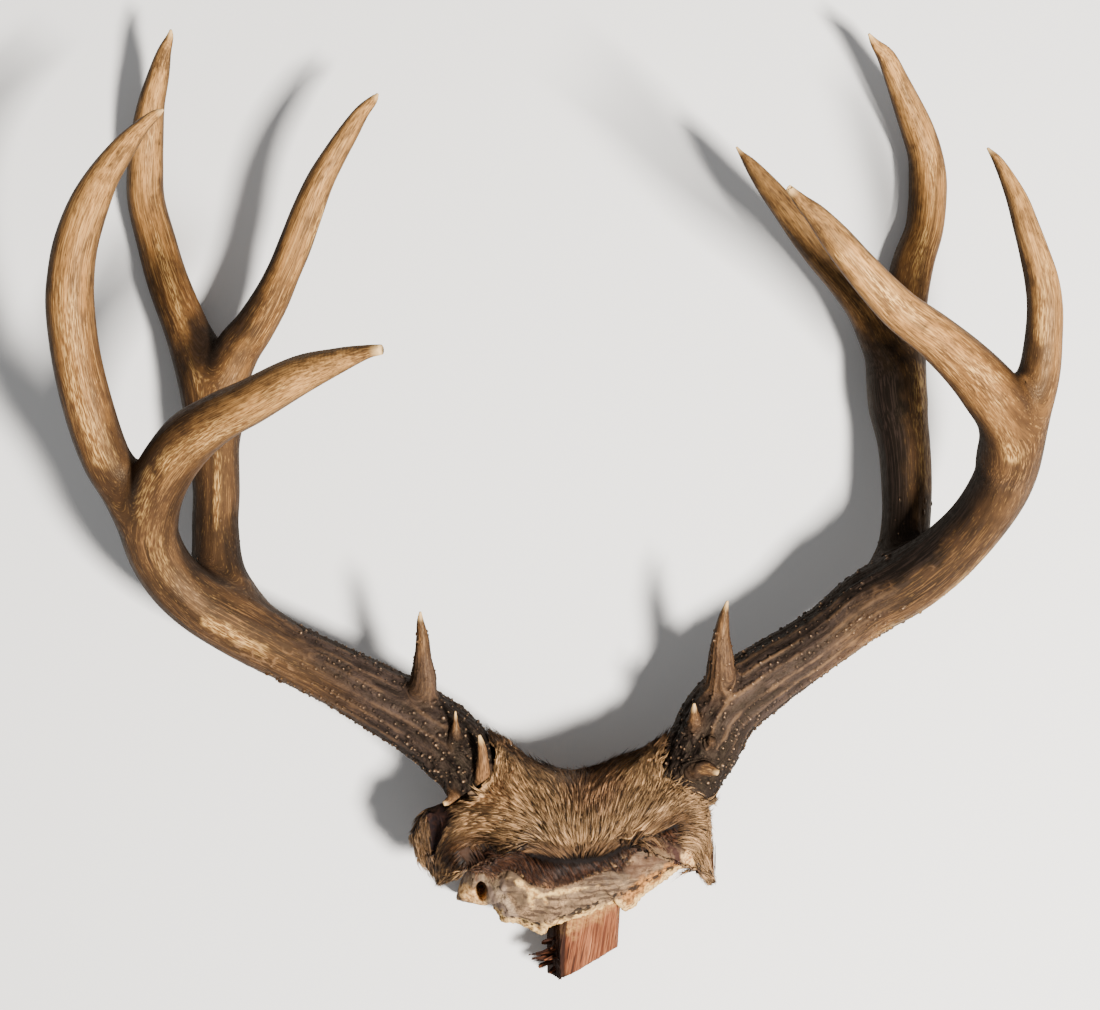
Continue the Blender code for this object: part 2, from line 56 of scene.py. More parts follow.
# Each route runs from the skull to a tip: x, y, z and the radius there, in millimetres.
LEFT_ROUTES = {
    "beam": [
        (-41, -151, 50, 16.5), (-53, -135, 50, 19.8), (-70, -120, 50, 19.5), (-91, -108, 50, 18.5),
        (-117, -94, 51, 17), (-145, -80, 53, 16.5), (-172, -65, 56, 17.5), (-194.5, -51, 62, 16.8),
        (-209.5, -35.5, 70, 16), (-217.5, -17, 81, 15.6), (-215, 1, 95, 15.2), (-206.5, 18.5, 112, 15.3),
        (-191, 36, 130, 15), (-173, 47, 147, 13.4), (-154, 55, 163, 12.2), (-129, 67, 179, 10.5),
        (-108, 74, 191, 7), (-93, 78, 199, 4), (-85, 79, 203, 3),
    ],
    "outer": [
        (-217, -18, 82, 10), (-224, -3, 89, 12.5), (-230, 12, 97, 13.5), (-238, 28, 107, 13.5),
        (-245, 53, 118, 13.5),
        (-250, 80, 127, 13), (-252, 105, 133, 13), (-251, 122, 136, 12.5), (-248, 138, 138, 12),
        (-242, 156, 138, 11), (-235, 172, 135, 9), (-225, 188, 131, 7), (-216, 200, 127, 4.5),
        (-209, 207, 124, 3), (-205, 210, 122, 1),
    ],
    "rear": [
        (-156, -74, 53, 11), (-173, -58, 48, 15.5), (-185, -37, 43, 15), (-188, -12, 39, 13.5),
        (-188, 10, 35, 13.5), (-190, 33, 31, 14.5), (-192, 56, 27, 16), (-197, 78, 23, 16),
        (-207, 101, 18, 13), (-218, 128, 14, 12), (-225, 151, 11.5, 11.5), (-231, 175, 11.5, 11),
        (-231, 195, 14, 10.5), (-229, 213, 19, 9.5), (-226, 228, 25, 8), (-221, 243, 32, 6.5),
        (-217, 254, 39, 4.5), (-213, 262, 44, 2.5), (-212, 266, 46, 1),
    ],
    "inner": [
        (-189, 50, 27, 13.5), (-185, 69, 29, 13.5), (-177, 88, 33, 13), (-167, 101, 38, 11.5),
        (-157, 116, 44, 10.5), (-149, 131, 50, 9.5), (-142, 146, 55, 9.5), (-135, 163, 60, 9),
        (-128, 179, 63, 8), (-120, 193, 65, 7), (-112, 206, 65, 6), (-105, 217, 64, 4.5),
        (-99, 224, 62, 3), (-96, 228, 61, 1),
    ],
    "twigs": [  # brow tine, slim spike, horn finger, nub
        [(-73, -105, 58, 8.5), (-71, -94, 63, 7.5), (-71, -82, 68, 5), (-71, -71, 72, 4),
         (-72, -62, 75, 2.5), (-72, -56, 77, 1)],
        [(-54, -137, 58, 4), (-53, -130, 66, 3.2), (-53, -121, 71, 2.6), (-53, -110, 75, 0.8)],
        [(-42, -150, 58, 5.5), (-39, -148, 68, 4), (-38, -139, 74, 3.4), (-38.5, -130, 76, 2.7),
         (-40, -123, 77, 1.2)],
        [(-42, -153, 52, 5), (-49, -157, 57, 4.5), (-55, -160, 61, 3.5), (-60, -162, 63, 1.5)],
    ],
    "bare": [0.1, 0.3, 0.9, 0.85],  # how much pale horn each twig shows
}
RIGHT_ROUTES = {
    "beam": [
        (72, -152, 50, 18), (82, -134, 50, 20), (94, -112, 50, 19.5), (113, -96, 50, 18.5),
        (136, -81, 51, 17), (156, -67, 53, 16.5), (173, -53, 56, 17.5), (194, -41, 62, 18),
        (214, -25, 72, 17), (230, -6, 85, 16), (240, 14, 101, 16.5), (242, 32, 117, 16.5),
        (237, 48, 132, 16), (226, 61, 145, 15.5), (211, 75, 157, 13.5), (194, 88, 168, 12),
        (177, 99, 178, 11), (164, 110, 186, 10), (151, 123, 193, 9), (141, 134, 198, 8),
        (131, 145, 202, 6), (123, 152, 205, 4), (116, 159, 207, 2),
    ],
    "outer": [
        (240, 28, 117, 14.5), (246, 42, 125, 13), (250, 57, 132, 12), (253, 71, 138, 11),
        (254, 88, 144, 10), (254, 104, 148, 9.5), (252, 118, 150, 9), (248, 132, 151, 8),
        (244, 145, 151, 7), (240, 158, 150, 6), (235, 170, 148, 4.5), (230, 180, 146, 3),
        (225, 187, 144, 1),
    ],
    "rear": [
        (160, -65, 53, 11), (180, -51, 48, 15.5), (193, -30, 43, 15), (197, -9, 39, 14),
        (198, 13, 35, 14.5), (197, 36, 31, 15), (194, 58, 27, 16), (194, 78, 23, 16.5),
        (196, 98, 18, 15.5), (200, 118, 14, 13), (205, 140, 12, 12), (211, 158, 11.5, 11),
        (213, 174, 11.5, 11), (213, 188, 13, 11), (211, 201, 16, 10), (206, 214, 21, 9.5),
        (200, 226, 27, 8.5), (193, 239, 34, 7), (186, 251, 42, 5.5), (179, 258, 47, 3),
        (175, 263, 50, 1),
    ],
    "inner": [
        (195, 61, 27, 14), (191, 81, 29, 13.5), (183, 98, 33, 12.5), (174, 113, 38, 11),
        (162, 127, 44, 10), (149, 141, 49, 9.5), (138, 154, 54, 9), (127, 167, 57, 7.5),
        (117, 179, 59, 6), (109, 189, 60, 4), (104, 195, 60, 2), (101, 199, 60, 1),
    ],
    "twigs": [  # brow tine, nub, round knob, stout finger
        [(92, -105, 58, 9.5), (92, -92, 63, 8), (92, -80, 68, 6.5), (92, -70, 71, 5),
         (93, -60, 74, 3.5), (94, -54, 76, 2), (95, -50, 77, 1)],
        [(78, -122, 60, 4), (77, -116, 68, 3.4), (77, -111, 72, 2.6), (77, -106, 74, 1)],
        [(85, -131, 64, 1.9), (86, -128, 71, 1.9), (86.5, -126, 73, 1.7)],
        [(70, -147, 58, 5), (75, -144, 67, 4.4), (82, -142, 71.5, 3.8), (87.5, -143, 72.5, 3),
         (90, -144, 72, 1.8)],
    ],
    "bare": [0.2, 0.3, 0.1, 0.05],
}

# Where the bone is painted dark, apart from the trunk: real stains, and painted shadow where other branches
# and twigs shade it. From x, y, z to x, y, z, how wide, how dark.
LEFT_STAINS = [
    (-198, 80, 26, -186, 102, 32, 19, 0.9), (-178, 90, 38, -166, 118, 46, 11, 0.7),
    (-166, 118, 46, -150, 152, 58, 7, 0.45), (-210, 96, 22, -222, 140, 16, 9, 0.5),
    (-158, -66, 66, -120, -88, 66, 12, 0.35), (-252, 60, 112, -256, 116, 130, 7, 0.45),
    (-223, 25, 103, -230, 2, 92, 8, 0.9), (-230, 2, 92, -232, -13, 87, 7, 0.8),
    (-199, -30, 60, -198, 10, 94, 12, 0.6), (-172, -30, 46, -180, -10, 42, 11, 0.7),
    (-45, -154, 66, -53, -126, 66, 9, 1.0), (-42, -128, 62, -52, -108, 62, 9, 1.0),
    (-194, -26, 72, -202, -10, 84, 11, 0.7), (-202, -10, 84, -200, 6, 96, 9, 0.6),
]
RIGHT_STAINS = [
    (187, -18, 52, 186, 66, 40, 14, 1.0), (188, 66, 38, 180, 104, 30, 15, 0.95),
    (206, -34, 76, 234, -4, 96, 13, 0.5), (134, -72, 66, 200, -38, 76, 12, 0.45),
    (162, 127, 52, 127, 167, 66, 9, 0.4), (127, 167, 66, 101, 199, 62, 9, 0.5),
    (141, 134, 204, 123, 152, 208, 7, 0.35), (232, 24, 122, 214, 62, 158, 5, 0.3),
    (196, -26, 52, 186, -38, 52, 20, 1.0), (214, 56, 132, 224, 40, 118, 9, 0.7),
    (224, 40, 116, 224, 4, 90, 13, 0.9), (222, 2, 88, 198, -30, 60, 16, 1.0),
    (118, -74, 58, 176, -34, 58, 11, 0.7), (62, -142, 64, 72, -132, 66, 9, 0.95),
    (167, 106, 191, 169, 105, 190, 1.8, 1.0), (183, 93, 184, 186, 92, 183, 2, 1.0),
    (256, 34, 124, 255, 31, 122, 4, 0.7), (241, 72, 146, 239, 70, 142, 5, 0.5),
    (186, -29, 64, 203, -14, 76, 14, 1.0), (203, -14, 76, 219, 2, 90, 15, 1.0),
    (219, 2, 90, 227, 20, 106, 13, 0.9), (227, 20, 106, 227, 36, 120, 10, 0.8),
    (64, -132, 62, 76, -112, 60, 9, 1.0), (166, -40, 62, 206, -20, 76, 18, 1.0),
    (70, -140, 68, 74, -134, 70, 6, 1.0), (76, -131, 70, 81, -134, 71, 3, 1.0),
]
# Painted highlights, where the light catches the bone in a bright gold, given in the same way.
LEFT_GLEAMS = [
    (-188, -62, 76, -158, -78, 70, 4, 0.9), (-212, 19, 126, -218, -3, 108, 5, 0.5),
    (-218, -3, 108, -207, -38, 88, 5, 0.35), (-202, 22, 138, -162, 44, 168, 7, 0.8),
    (-162, 44, 168, -136, 58, 184, 7, 0.6), (-254, 112, 146, -247, 58, 132, 7, 0.7),
    (-247, 58, 132, -236, 26, 119, 6, 0.9), (-226, 211, 28, -222, 150, 23, 2.6, 0.9),
    (-222, 150, 23, -206, 97, 30, 2.6, 0.9), (-206, 97, 30, -197, 66, 42, 2.2, 0.7),
    (-106, 200, 71, -131, 150, 62, 2.8, 0.8), (-131, 150, 62, -143, 124, 58, 2.8, 0.8),
    (-143, 124, 58, -162, 84, 46, 2.8, 0.8), (-186, 30, 44, -186, -10, 52, 2.4, 0.7),
]
RIGHT_GLEAMS = [
    (206, 74, 36, 208, 44, 42, 7, 1.0), (208, 44, 42, 209, 14, 44, 6, 1.0),
    (150, -85, 54, 208, -51, 68, 5, 0.6), (208, -51, 68, 239, -16, 88, 5, 0.5),
    (244, -4, 96, 252, 24, 114, 5, 0.6), (240, 30, 132, 226, 56, 154, 6, 0.8),
    (143, 126, 203, 201, 80, 182, 4, 0.8), (201, 80, 182, 226, 66, 164, 4.5, 0.8),
    (215, 207, 28, 213, 173, 23, 2.6, 0.9), (213, 173, 23, 207, 142, 24, 2.6, 0.9),
    (207, 142, 24, 202, 121, 28, 2.6, 0.9), (252, 125, 158, 250, 88, 154, 4, 0.6),
]

STEP = 2 * MM
INSET = 0.4 * MM  # the polished bone keeps this far inside its routes, so that its relief does too
SKIN_VOXEL = 0.7 * MM  # the fused skin is remade this fine, and then thinned where it is plain
ANTLER_TRIANGLES = 190000
FORK_FILLET, TWIG_FILLET = 2.6 * MM, 1.4 * MM  # how softly the forks and the small twigs flow in

PEARL_ROWS, PEARL_PITCH, RIDGES = 22, 4.8 * MM, 16
PEARL_RADIUS, PEARL_HEIGHT = (0.65 * MM, 1.3 * MM), (0.5 * MM, 1.05 * MM)
BURR_PEARLS, EDGE_PEARLS, REAR_PEARLS, BROW_PEARLS = 150, 120, 46, 34  # outside the rows
BURR_CROWD = 0.055  # how far from the burr the pearls crowd
DARK_LEAN = 0.045  # how much further the dark of the trunk runs on its inner side than on its outer
LEE_SIDE = (-0.93, 0.15, -0.34)  # the way that the side faces which is painted darkest, as shade on the side away from the light
FLANK_SHARE = 0.75  # how much painted shade the flanks and the back get next to that
CORONET_LENGTH, CORONET_HEIGHT = 13 * MM, 1.8 * MM
# Heights in millimetres of the rest of the relief: along all the bone, on the trunk and at the burr.
FLUTE_HEIGHT, SWELL_HEIGHT, VEIN_HEIGHT, MOAT_DEPTH = 0.2, 0.3, 0.3, 0.22
TRUNK_ROUGH, TRUNK_GRIT, TRUNK_RIDGE = 0.4, 0.2, 0.65
BURR_ROUGH, BURR_GRIT = 0.7, 0.35
BREAK_REACH = 30 * MM  # how far round its end a break is trimmed flat
CROTCH_REACH, CROTCH_TURN = 9 * MM, 0.2  # how far the painted shade of a crotch spreads, and how soon it is full
NOISE_TABLE, CELL_PRIMES = 4096, np.array([73856093, 19349663, 83492791])  # for mottle's random lumps


def unit(rows):
    return rows / np.maximum(np.linalg.norm(rows, axis=1), 1e-12)[:, None]


def ease(low, high, value):
    """0 below low and 1 above high, with a soft change between them."""
    t = np.clip((value - low) / (high - low), 0, 1)
    return t * t * (3 - 2 * t)


def mottle(places, size, seed):
    """Soft random lumps from -1 to 1 at the places. Their size in millimetres is one number, or one for
    each axis."""
    cells = places / (size * MM) if np.isscalar(size) else places / np.array(size) / MM
    table = np.random.default_rng(seed).uniform(-1, 1, NOISE_TABLE)
    low = np.floor(cells).astype(np.int64)
    part = cells - low
    part = part * part * (3 - 2 * part)
    total = np.zeros(len(cells))
    for corner in itertools.product((0, 1), repeat=3):
        key = low + corner
        key = np.bitwise_xor.reduce(key * CELL_PRIMES, axis=1)
        share = np.where(np.array(corner) == 1, part, 1 - part).prod(axis=1)
        total += table[key % NOISE_TABLE] * share
    return total


def nearest(places, targets, radii=0.0, block=8192):
    """The target that each place is nearest to, counted from the ball round each target."""
    places, targets = places.astype(np.float32), targets.astype(np.float32)
    squares = (targets**2).sum(1)
    found = []
    for start in range(0, len(places), block):
        here = places[start:start + block]
        span = here @ (-2 * targets.T)
        span += squares
        span += (here**2).sum(1)[:, None]
        np.maximum(span, 0, out=span)
        np.sqrt(span, out=span)
        found.append((span - np.float32(radii)).argmin(1))
    return np.concatenate(found)


def grow(points, parent=None):
    """A branch along a smooth line through the points, sampled every STEP.

    Its reach, the distance from the burr, goes on from where it leaves its parent."""
    rows = np.array(points, float) * MM
    rows = np.vstack([2 * rows[0] - rows[1], rows, 2 * rows[-1] - rows[-2]])
    t = np.linspace(0, 1, 24, endpoint=False)[:, None]
    line = [
        0.5 * (2 * b + (c - a) * t + (2 * a - 5 * b + 4 * c - d) * t**2
               + (3 * b - a - 3 * c + d) * t**3)
        for a, b, c, d in zip(rows, rows[1:], rows[2:], rows[3:])
    ]
    line = np.vstack([*line, rows[-2:-1]])
    reach = np.r_[0, np.cumsum(np.linalg.norm(np.diff(line[:, :3], axis=0), axis=1))]
    even = np.linspace(0, reach[-1], round(reach[-1] / STEP) + 1)
    line = np.column_stack([np.interp(even, reach, column) for column in line.T])
    along = unit(np.gradient(line[:, :3], axis=0))
    across = np.zeros_like(along)
    side = np.array([0.0, 0.0, 1.0])
    for k, way in enumerate(along):
        side = side - way * side.dot(way)
        side /= np.linalg.norm(side)
        across[k] = side
    start = 0.0
    if parent:
        start = parent["reach"][nearest(line[:1, :3], parent["at"])[0]]
    return {
        "at": line[:, :3], "radius": line[:, 3], "reach": even + start, "along": along,
        "across": across, "beside": np.cross(along, across), "end": even[-1] + start,
        "swell": np.gradient(line[:, 3], even),
    }


def tube(branch):
    """A round tube as thick as the branch: a curve with a bevel, turned into a mesh."""
    curve = bpy.data.curves.new("tube", "CURVE")
    curve.dimensions = "3D"
    curve.bevel_depth = 1.0
    curve.bevel_resolution = 6
    curve.use_fill_caps = True
    rows = np.column_stack([branch["at"], np.ones(len(branch["at"]))])
    picked = sorted({*range(0, len(rows), 2), len(rows) - 1})
    spline = curve.splines.new("POLY")
    spline.points.add(len(picked) - 1)
    spline.points.foreach_set("co", rows[picked].ravel())
    spline.points.foreach_set("radius", branch["radius"][picked])
    made = bpy.data.objects.new("tube", curve)
    bpy.context.collection.objects.link(made)
    return made


def apply_modifier(piece, kind, **settings):
    bpy.context.view_layer.objects.active = piece
    modifier = piece.modifiers.new(kind, kind)
    for name, value in settings.items():
        setattr(modifier, name, value)
    bpy.ops.object.modifier_apply(modifier=modifier.name)


def rows_of(items, key, kind=float):
    """The three numbers that each vertex or triangle of a mesh has under this key."""
    flat = np.empty(len(items) * 3, dtype=kind)
    items.foreach_get(key, flat)
    return flat.reshape(-1, 3)


def places_of(mesh):
    return rows_of(mesh.vertices, "co")


def normals_of(mesh):
    return rows_of(mesh.vertices, "normal")


def place_at(mesh, places):
    mesh.vertices.foreach_set("co", places.ravel())
    mesh.update()


def note(mesh, **notes):
    """Keeps values for each vertex, or vectors where they have three columns, for the material."""
    for name, values in notes.items():
        kind, key = ("FLOAT_VECTOR", "vector") if values.ndim == 2 else ("FLOAT", "value")
        mesh.attributes.new(name, kind, "POINT").data.foreach_set(key, values.ravel())


def soft_least(gaps, fillet):
    """The least of several gaps, rounded where two are alike, and each one's share in it."""
    low = gaps.min(0)
    weight = np.exp(-(gaps - low) / fillet)
    total = weight.sum(0)
    return low - fillet * np.log(total), weight / total


def survey(places, branches):
    """Where each place is on the antler: how far outside it, the way out, its grain (across, beside and
    reach), how much of the branch is left ahead, and how much two branches face each other there."""
    gaps, ways, grains, ahead = [], [], [], []
    for branch in branches:
        index = nearest(places, branch["at"], branch["radius"])
        away = places - branch["at"][index]
        axes = [branch[name][index] for name in ("across", "beside", "along")]
        local = np.column_stack([(away * axis).sum(1) for axis in axes])
        slide = np.clip(local[:, 2], -STEP / 2, STEP / 2)
        away -= axes[2] * slide[:, None]
        gaps.append(np.linalg.norm(away, axis=1) - branch["radius"][index] - branch["swell"][index] * slide)
        ways.append(unit(away))
        local[:, 2] += branch["reach"][index]
        grains.append(local)
        ahead.append(branch["end"] - local[:, 2])
    gaps, ways, grains, ahead = map(np.array, (gaps, ways, grains, ahead))
    main, main_share = soft_least(gaps[:4], FORK_FILLET)
    gap, share = soft_least(np.vstack([main[None], gaps[4:]]), TWIG_FILLET)
    share = np.vstack([share[0] * main_share, share[1:]])
    way = (share[:, :, None] * ways).sum(0)
    wide = np.exp(-(gaps[:4] - gaps[:4].min(0)) / CROTCH_REACH)
    lean = np.linalg.norm((wide[:, :, None] * ways[:4]).sum(0), axis=1) / wide.sum(0)
    return {
        "gap": gap, "way": way, "share": share, "grain": (share[:, :, None] * grains).sum(0),
        "ahead": (share * ahead).sum(0), "crotch": (1 - lean) * share[:4].sum(0),
    }


def seed_pearls(beam, rear, brow, trunk_end, seed):
    """Where the pearls stand: rows along the trunk, a crowd at the burr, a few up the rear beam and
    round the foot of the brow tine. Gives places, radii, heights and the way of the grain there."""
    rng = np.random.default_rng(seed)
    found = []

    def add(branch, reach, angle, size):
        k = int(np.clip(round((reach - branch["reach"][0]) / STEP), 0, len(branch["at"]) - 1))
        out = branch["across"][k] * math.cos(angle) + branch["beside"][k] * math.sin(angle)
        radius = size * rng.uniform(*PEARL_RADIUS)
        height = size * rng.uniform(*PEARL_HEIGHT)
        found.append([*(branch["at"][k] + out * branch["radius"][k]), radius, height, *branch["along"][k]])

    for row in range(PEARL_ROWS):
        reach = rng.uniform(6, 12) * MM
        lean = rng.uniform(0, math.tau)
        while reach < trunk_end * rng.uniform(0.75, 1.15):
            angle = math.tau * row / PEARL_ROWS + 0.16 * math.sin(reach / 0.021 + lean)
            size = rng.uniform(0.7, 1.15) * (1.12 - 0.4 * reach / trunk_end)
            add(beam, reach, angle + rng.normal(0, 0.05), size)
            reach += PEARL_PITCH * rng.uniform(0.75, 1.5)
    for _ in range(BURR_PEARLS):
        reach = BURR_CROWD * rng.uniform(0.08, 1) ** 1.4
        add(beam, reach, rng.uniform(0, math.tau), rng.uniform(0.6, 1.35))
    for _ in range(EDGE_PEARLS):  # a rough crowd along the upper and the lower edge
        edge = math.pi / 2 * rng.choice((-1, 1)) + rng.normal(0, 0.3)
        add(beam, trunk_end * rng.uniform(0.1, 1), edge, rng.uniform(0.8, 1.2))
    for _ in range(REAR_PEARLS):
        reach = rear["reach"][0] + rng.uniform(0.022, 0.085)
        add(rear, reach, rng.uniform(0, math.tau), rng.uniform(0.45, 0.7))
    for _ in range(BROW_PEARLS):
        reach = brow["reach"][0] + rng.uniform(14, 42) * MM
        add(brow, reach, rng.uniform(0, math.tau), rng.uniform(0.6, 1.05))
    return np.array(found)


def relief(places, spot, pearls, trunk_end, ridged):
    """How high the surface stands at each place, and the shares there of dark trunk, pearl, painted shade
    in the grooves and round the pearls, and pale ridge with a painted highlight on the raised veins."""
    grain, reach = spot["grain"], spot["grain"][:, 2]
    plain = 1 - ease(0.6, 0.95, spot["share"][4:].sum(0)) * (1 - 0.75 * ease(0.012, 0.03, spot["ahead"]))
    blotch = mottle(grain, (9, 9, 26), 3)
    way = unit(spot["way"])
    turned = reach + 0.02 * blotch - DARK_LEAN * way[:, 1]
    trunk = (1 - ease(0.62 * trunk_end, 1.1 * trunk_end, turned)) * plain
    flutes = mottle(grain, (2.3, 2.3, 38), 4)
    swells = mottle(grain, (6.5, 6.5, 85), 5)
    rough = mottle(grain, (2.6, 2.6, 7), 6)
    grit = mottle(grain, (1.1, 1.1, 1.7), 7)
    slim = np.clip(spot["ahead"] / 0.05, 0.15, 1)
    height = MM * slim * (FLUTE_HEIGHT * flutes + SWELL_HEIGHT * swells) * (0.4 + 0.6 * plain)
    around = np.arctan2(grain[:, 1], grain[:, 0])
    waver = 0.6 * np.sin(reach / 0.03) + 0.2 * np.sin(reach / 0.0061) + 1.1 * swells
    ridge = (0.5 + 0.5 * np.cos(RIDGES * around + waver + reach / 0.07)) ** 2.5 * ease(0.012, 0.035, reach)
    burr = (1 - ease(0.02, 0.06, reach)) * plain
    height += (
        MM * trunk * (TRUNK_ROUGH * rough + TRUNK_GRIT * grit + TRUNK_RIDGE * ridged * ridge)
        + MM * burr * (BURR_ROUGH * rough + BURR_GRIT * grit)
    )
    height -= INSET * (1 - trunk)
    # Where the grooves and furrows get painted shade.
    groove = np.clip(-0.55 * flutes - 0.3 * swells, 0, 1)
    groove = groove + trunk * np.clip(0.3 - 0.6 * rough - 0.7 * ridge + 0.3 * burr, 0, 1)
    worm = mottle(grain, (2.4, 2.4, 6.5), 10)
    zone = ease(0.55, 0.8, reach / trunk_end) * (1 - ease(1.15, 1.4, reach / trunk_end)) * plain
    zone *= ease(0.1, 0.5, mottle(grain, (8, 8, 18), 11))
    # Vein: worm-like raised lines, which crest also colours pale as a painted highlight on them.
    vein = np.exp(-((worm / 0.1) ** 2)) * zone
    height += VEIN_HEIGHT * MM * vein

    index = nearest(places, pearls[:, :3])
    away = places - pearls[index, :3]
    along = (away * pearls[index, 5:8]).sum(1)
    out = (away * way).sum(1)
    side = np.sqrt(np.maximum((away**2).sum(1) - along**2 - out**2, 0))
    stretch = 1 - 0.5 * ease(0.10, 0.17, reach)
    span = np.hypot(side, along * stretch) / pearls[index, 3] * (1 + 0.28 * grit)
    dome = np.maximum(1 - span**2, 0) ** 0.7
    moat = np.exp(-(((span - 1.35) / 0.3) ** 2))
    height += pearls[index, 4] * dome - MOAT_DEPTH * MM * moat
    lumps = 0.6 + 0.5 * mottle(grain, (3.4, 3.4, 5), 8)
    height += CORONET_HEIGHT * (1 - ease(0, CORONET_LENGTH, reach)) * lumps * plain
    patch = ridged * ease(-0.7, 0.3, mottle(grain, (8, 8, 22), 9))
    crest = trunk * ease(0.55, 1.1, ridge + 0.35 * rough + 0.2 * grit) * patch
    return height, trunk, dome, np.clip(groove + 0.9 * moat, 0, 1), np.maximum(crest, 0.6 * vein)


def marked(places, marks):
    """How far each place is in one of the marks, dark stains with painted shadow or painted highlights,
    from 0 to 1.
    """
    uneven = 0.2 * mottle(places, 7, 12) + 0.1 * mottle(places, 2.2, 13)
    found = np.zeros(len(places))
    for *ends, width, share in marks:
        first, last = np.array(ends[:3]) * MM, np.array(ends[3:]) * MM
        t = np.clip((places - first) @ (last - first) / (last - first).dot(last - first), 0, 1)
        gap = np.linalg.norm(places - first - t[:, None] * (last - first), axis=1) / (width * MM)
        found = np.maximum(found, share * (1 - ease(0.45, 1.25, gap + uneven)))
    return found


def cut_off(places, end, way, rough=0.0):
    """Keeps the places round an end on the near side of a flat or rough break square to the way."""
    past = np.maximum((places - end) @ way - rough, 0)
    past *= np.linalg.norm(places - end, axis=1) < BREAK_REACH
    return places - past[:, None] * way


def antler(name, routes, stains, gleams, nodes, seed, trunk_end, ridged, tip_rough):
    """One antler: tubes along its routes, fused by a voxel remesh, drawn onto a surface with soft forks,
    given its relief, and thinned to the size that a piece may have."""
    beam = grow(routes["beam"])
    rear = grow(routes["rear"], beam)
    branches = [beam, grow(routes["outer"], beam), rear, grow(routes["inner"], rear)]
    branches += [grow(points, beam) for points in routes["twigs"]]
    bpy.ops.object.select_all(action="DESELECT")
    for branch in branches:
        made = tube(branch)
        made.select_set(True)
        bpy.context.view_layer.objects.active = made
    bpy.ops.object.convert(target="MESH")
    bpy.ops.object.join()
    piece = bpy.context.object
    piece.name = piece.data.name = name
    apply_modifier(piece, "REMESH", mode="VOXEL", voxel_size=SKIN_VOXEL)

    pearls = seed_pearls(beam, rear, branches[4], trunk_end, seed)
    foot, foot_way = beam["at"][0], -beam["along"][0]
    tip, tip_way = beam["at"][-1], beam["along"][-1]
    places = places_of(piece.data)
    for last in (False, True):
        spot = survey(places, branches)
        height = relief(places, spot, pearls, trunk_end, ridged)[0] if last else 0.0
        drop = spot["gap"] / np.maximum(np.linalg.norm(spot["way"], axis=1), 0.4) - height
        places = places - unit(spot["way"]) * drop[:, None]
    ragged = tip_rough * MM * mottle(places, 1.6, seed)
    places = cut_off(places, foot, foot_way)
    places = cut_off(places, tip, tip_way, ragged)
    place_at(piece.data, places)

    triangles = 2 * len(piece.data.polygons)
    apply_modifier(piece, "DECIMATE", ratio=min(1.0, ANTLER_TRIANGLES / triangles))
    places = places_of(piece.data)
    spot = survey(places, branches)
    _, trunk, pearl, groove, crest = relief(places, spot, pearls, trunk_end, ridged)
    way = unit(spot["way"])
    # Painted shade: darker on the side that faces away from the light, and on the flanks and the back.
    uneven = 0.12 * mottle(spot["grain"], (5, 5, 20), 14)
    lee = ease(-0.25, 0.8, way @ np.array(LEE_SIDE) + uneven)
    note(
        piece.data, grain=spot["grain"], trunk=trunk, pearl=pearl, groove=groove, crest=crest,
        ahead=spot["ahead"], crotch=np.clip(spot["crotch"] / CROTCH_TURN, 0, 1),
        stain=marked(places, stains), gleam=marked(places, gleams),
        bare=np.array(routes["bare"]) @ spot["share"][4:],
        lee=np.maximum(lee, FLANK_SHARE * ease(0.25, 0.85, 1 - way[:, 2] + uneven)))
    bpy.ops.object.shade_smooth()
    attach(piece, "root")
    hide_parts(*nodes)
    return piece


def nodes_of(side):
    return [f"{side}_{part}" for part in ("trunk", "front_beam", "outer_tine", "rear_beam", "inner_tine")]


left_antler = antler(
    "left_antler", LEFT_ROUTES, LEFT_STAINS, LEFT_GLEAMS, nodes_of("left"),
    seed=21, trunk_end=0.135, ridged=0.5, tip_rough=0.0)
right_antler = antler(
    "right_antler", RIGHT_ROUTES, RIGHT_STAINS, RIGHT_GLEAMS, nodes_of("right"),
    seed=22, trunk_end=0.175, ridged=1.0, tip_rough=2.0)


def feed(tree, node, inputs):
    """Sets a node's inputs, by name or number, to values or to the sockets that they come from. Where a
    socket has numbers after it, between draws it by them."""
    for name, value in inputs.items():
        if isinstance(value, tuple) and isinstance(value[0], bpy.types.NodeSocket):
            value = between(tree, *value)
        if isinstance(value, bpy.types.NodeSocket):
            tree.links.new(value, node.inputs[name])
        else:
            node.inputs[name].default_value = value


def add(tree, kind, inputs=None, **settings):
    """A new shader node with these inputs and settings."""
    made = tree.nodes.new("ShaderNode" + kind)
    for name, value in settings.items():
        setattr(made, name, value)
    feed(tree, made, inputs or {})
    return made


def between(tree, value, low, high, first=0.0, last=1.0):
    """The value's place from low to high, drawn to first and last."""
    inputs = {0: value, 1: low, 2: high, 3: first, 4: last}
    return add(tree, "MapRange", inputs, interpolation_type="SMOOTHSTEP").outputs[0]


def sums(tree, how, *values):
    return add(tree, "Math", dict(enumerate(values)), operation=how).outputs[0]


def times(tree, first, second):
    return sums(tree, "MULTIPLY", first, second)


def mix(tree, share, first, second, how="MIX"):
    """The colour between two, each of them a socket, a shade from 0 to 255, or light with its alpha."""
    first, second = [shade(*c) if isinstance(c, tuple) and len(c) == 3 else c for c in (first, second)]
    return add(tree, "Mix", {0: share, 6: first, 7: second}, data_type="RGBA", blend_type=how).outputs[2]


def coats(tree, colour, *layers):
    """The colour under coats of others, each given by how much it covers and its own colour."""
    for share, coat in layers:
        colour = mix(tree, share, colour, coat)
    return colour


def bumps(tree, height, strength, depth):
    """A normal for fine relief, as deep as this in millimetres."""
    return add(tree, "Bump", {"Height": height, "Strength": strength, "Distance": depth * MM}).outputs[0]


def noted(tree, *names):
    """The values that note has kept under these names."""
    return [add(tree, "Attribute", attribute_name=name).outputs["Fac"] for name in names]


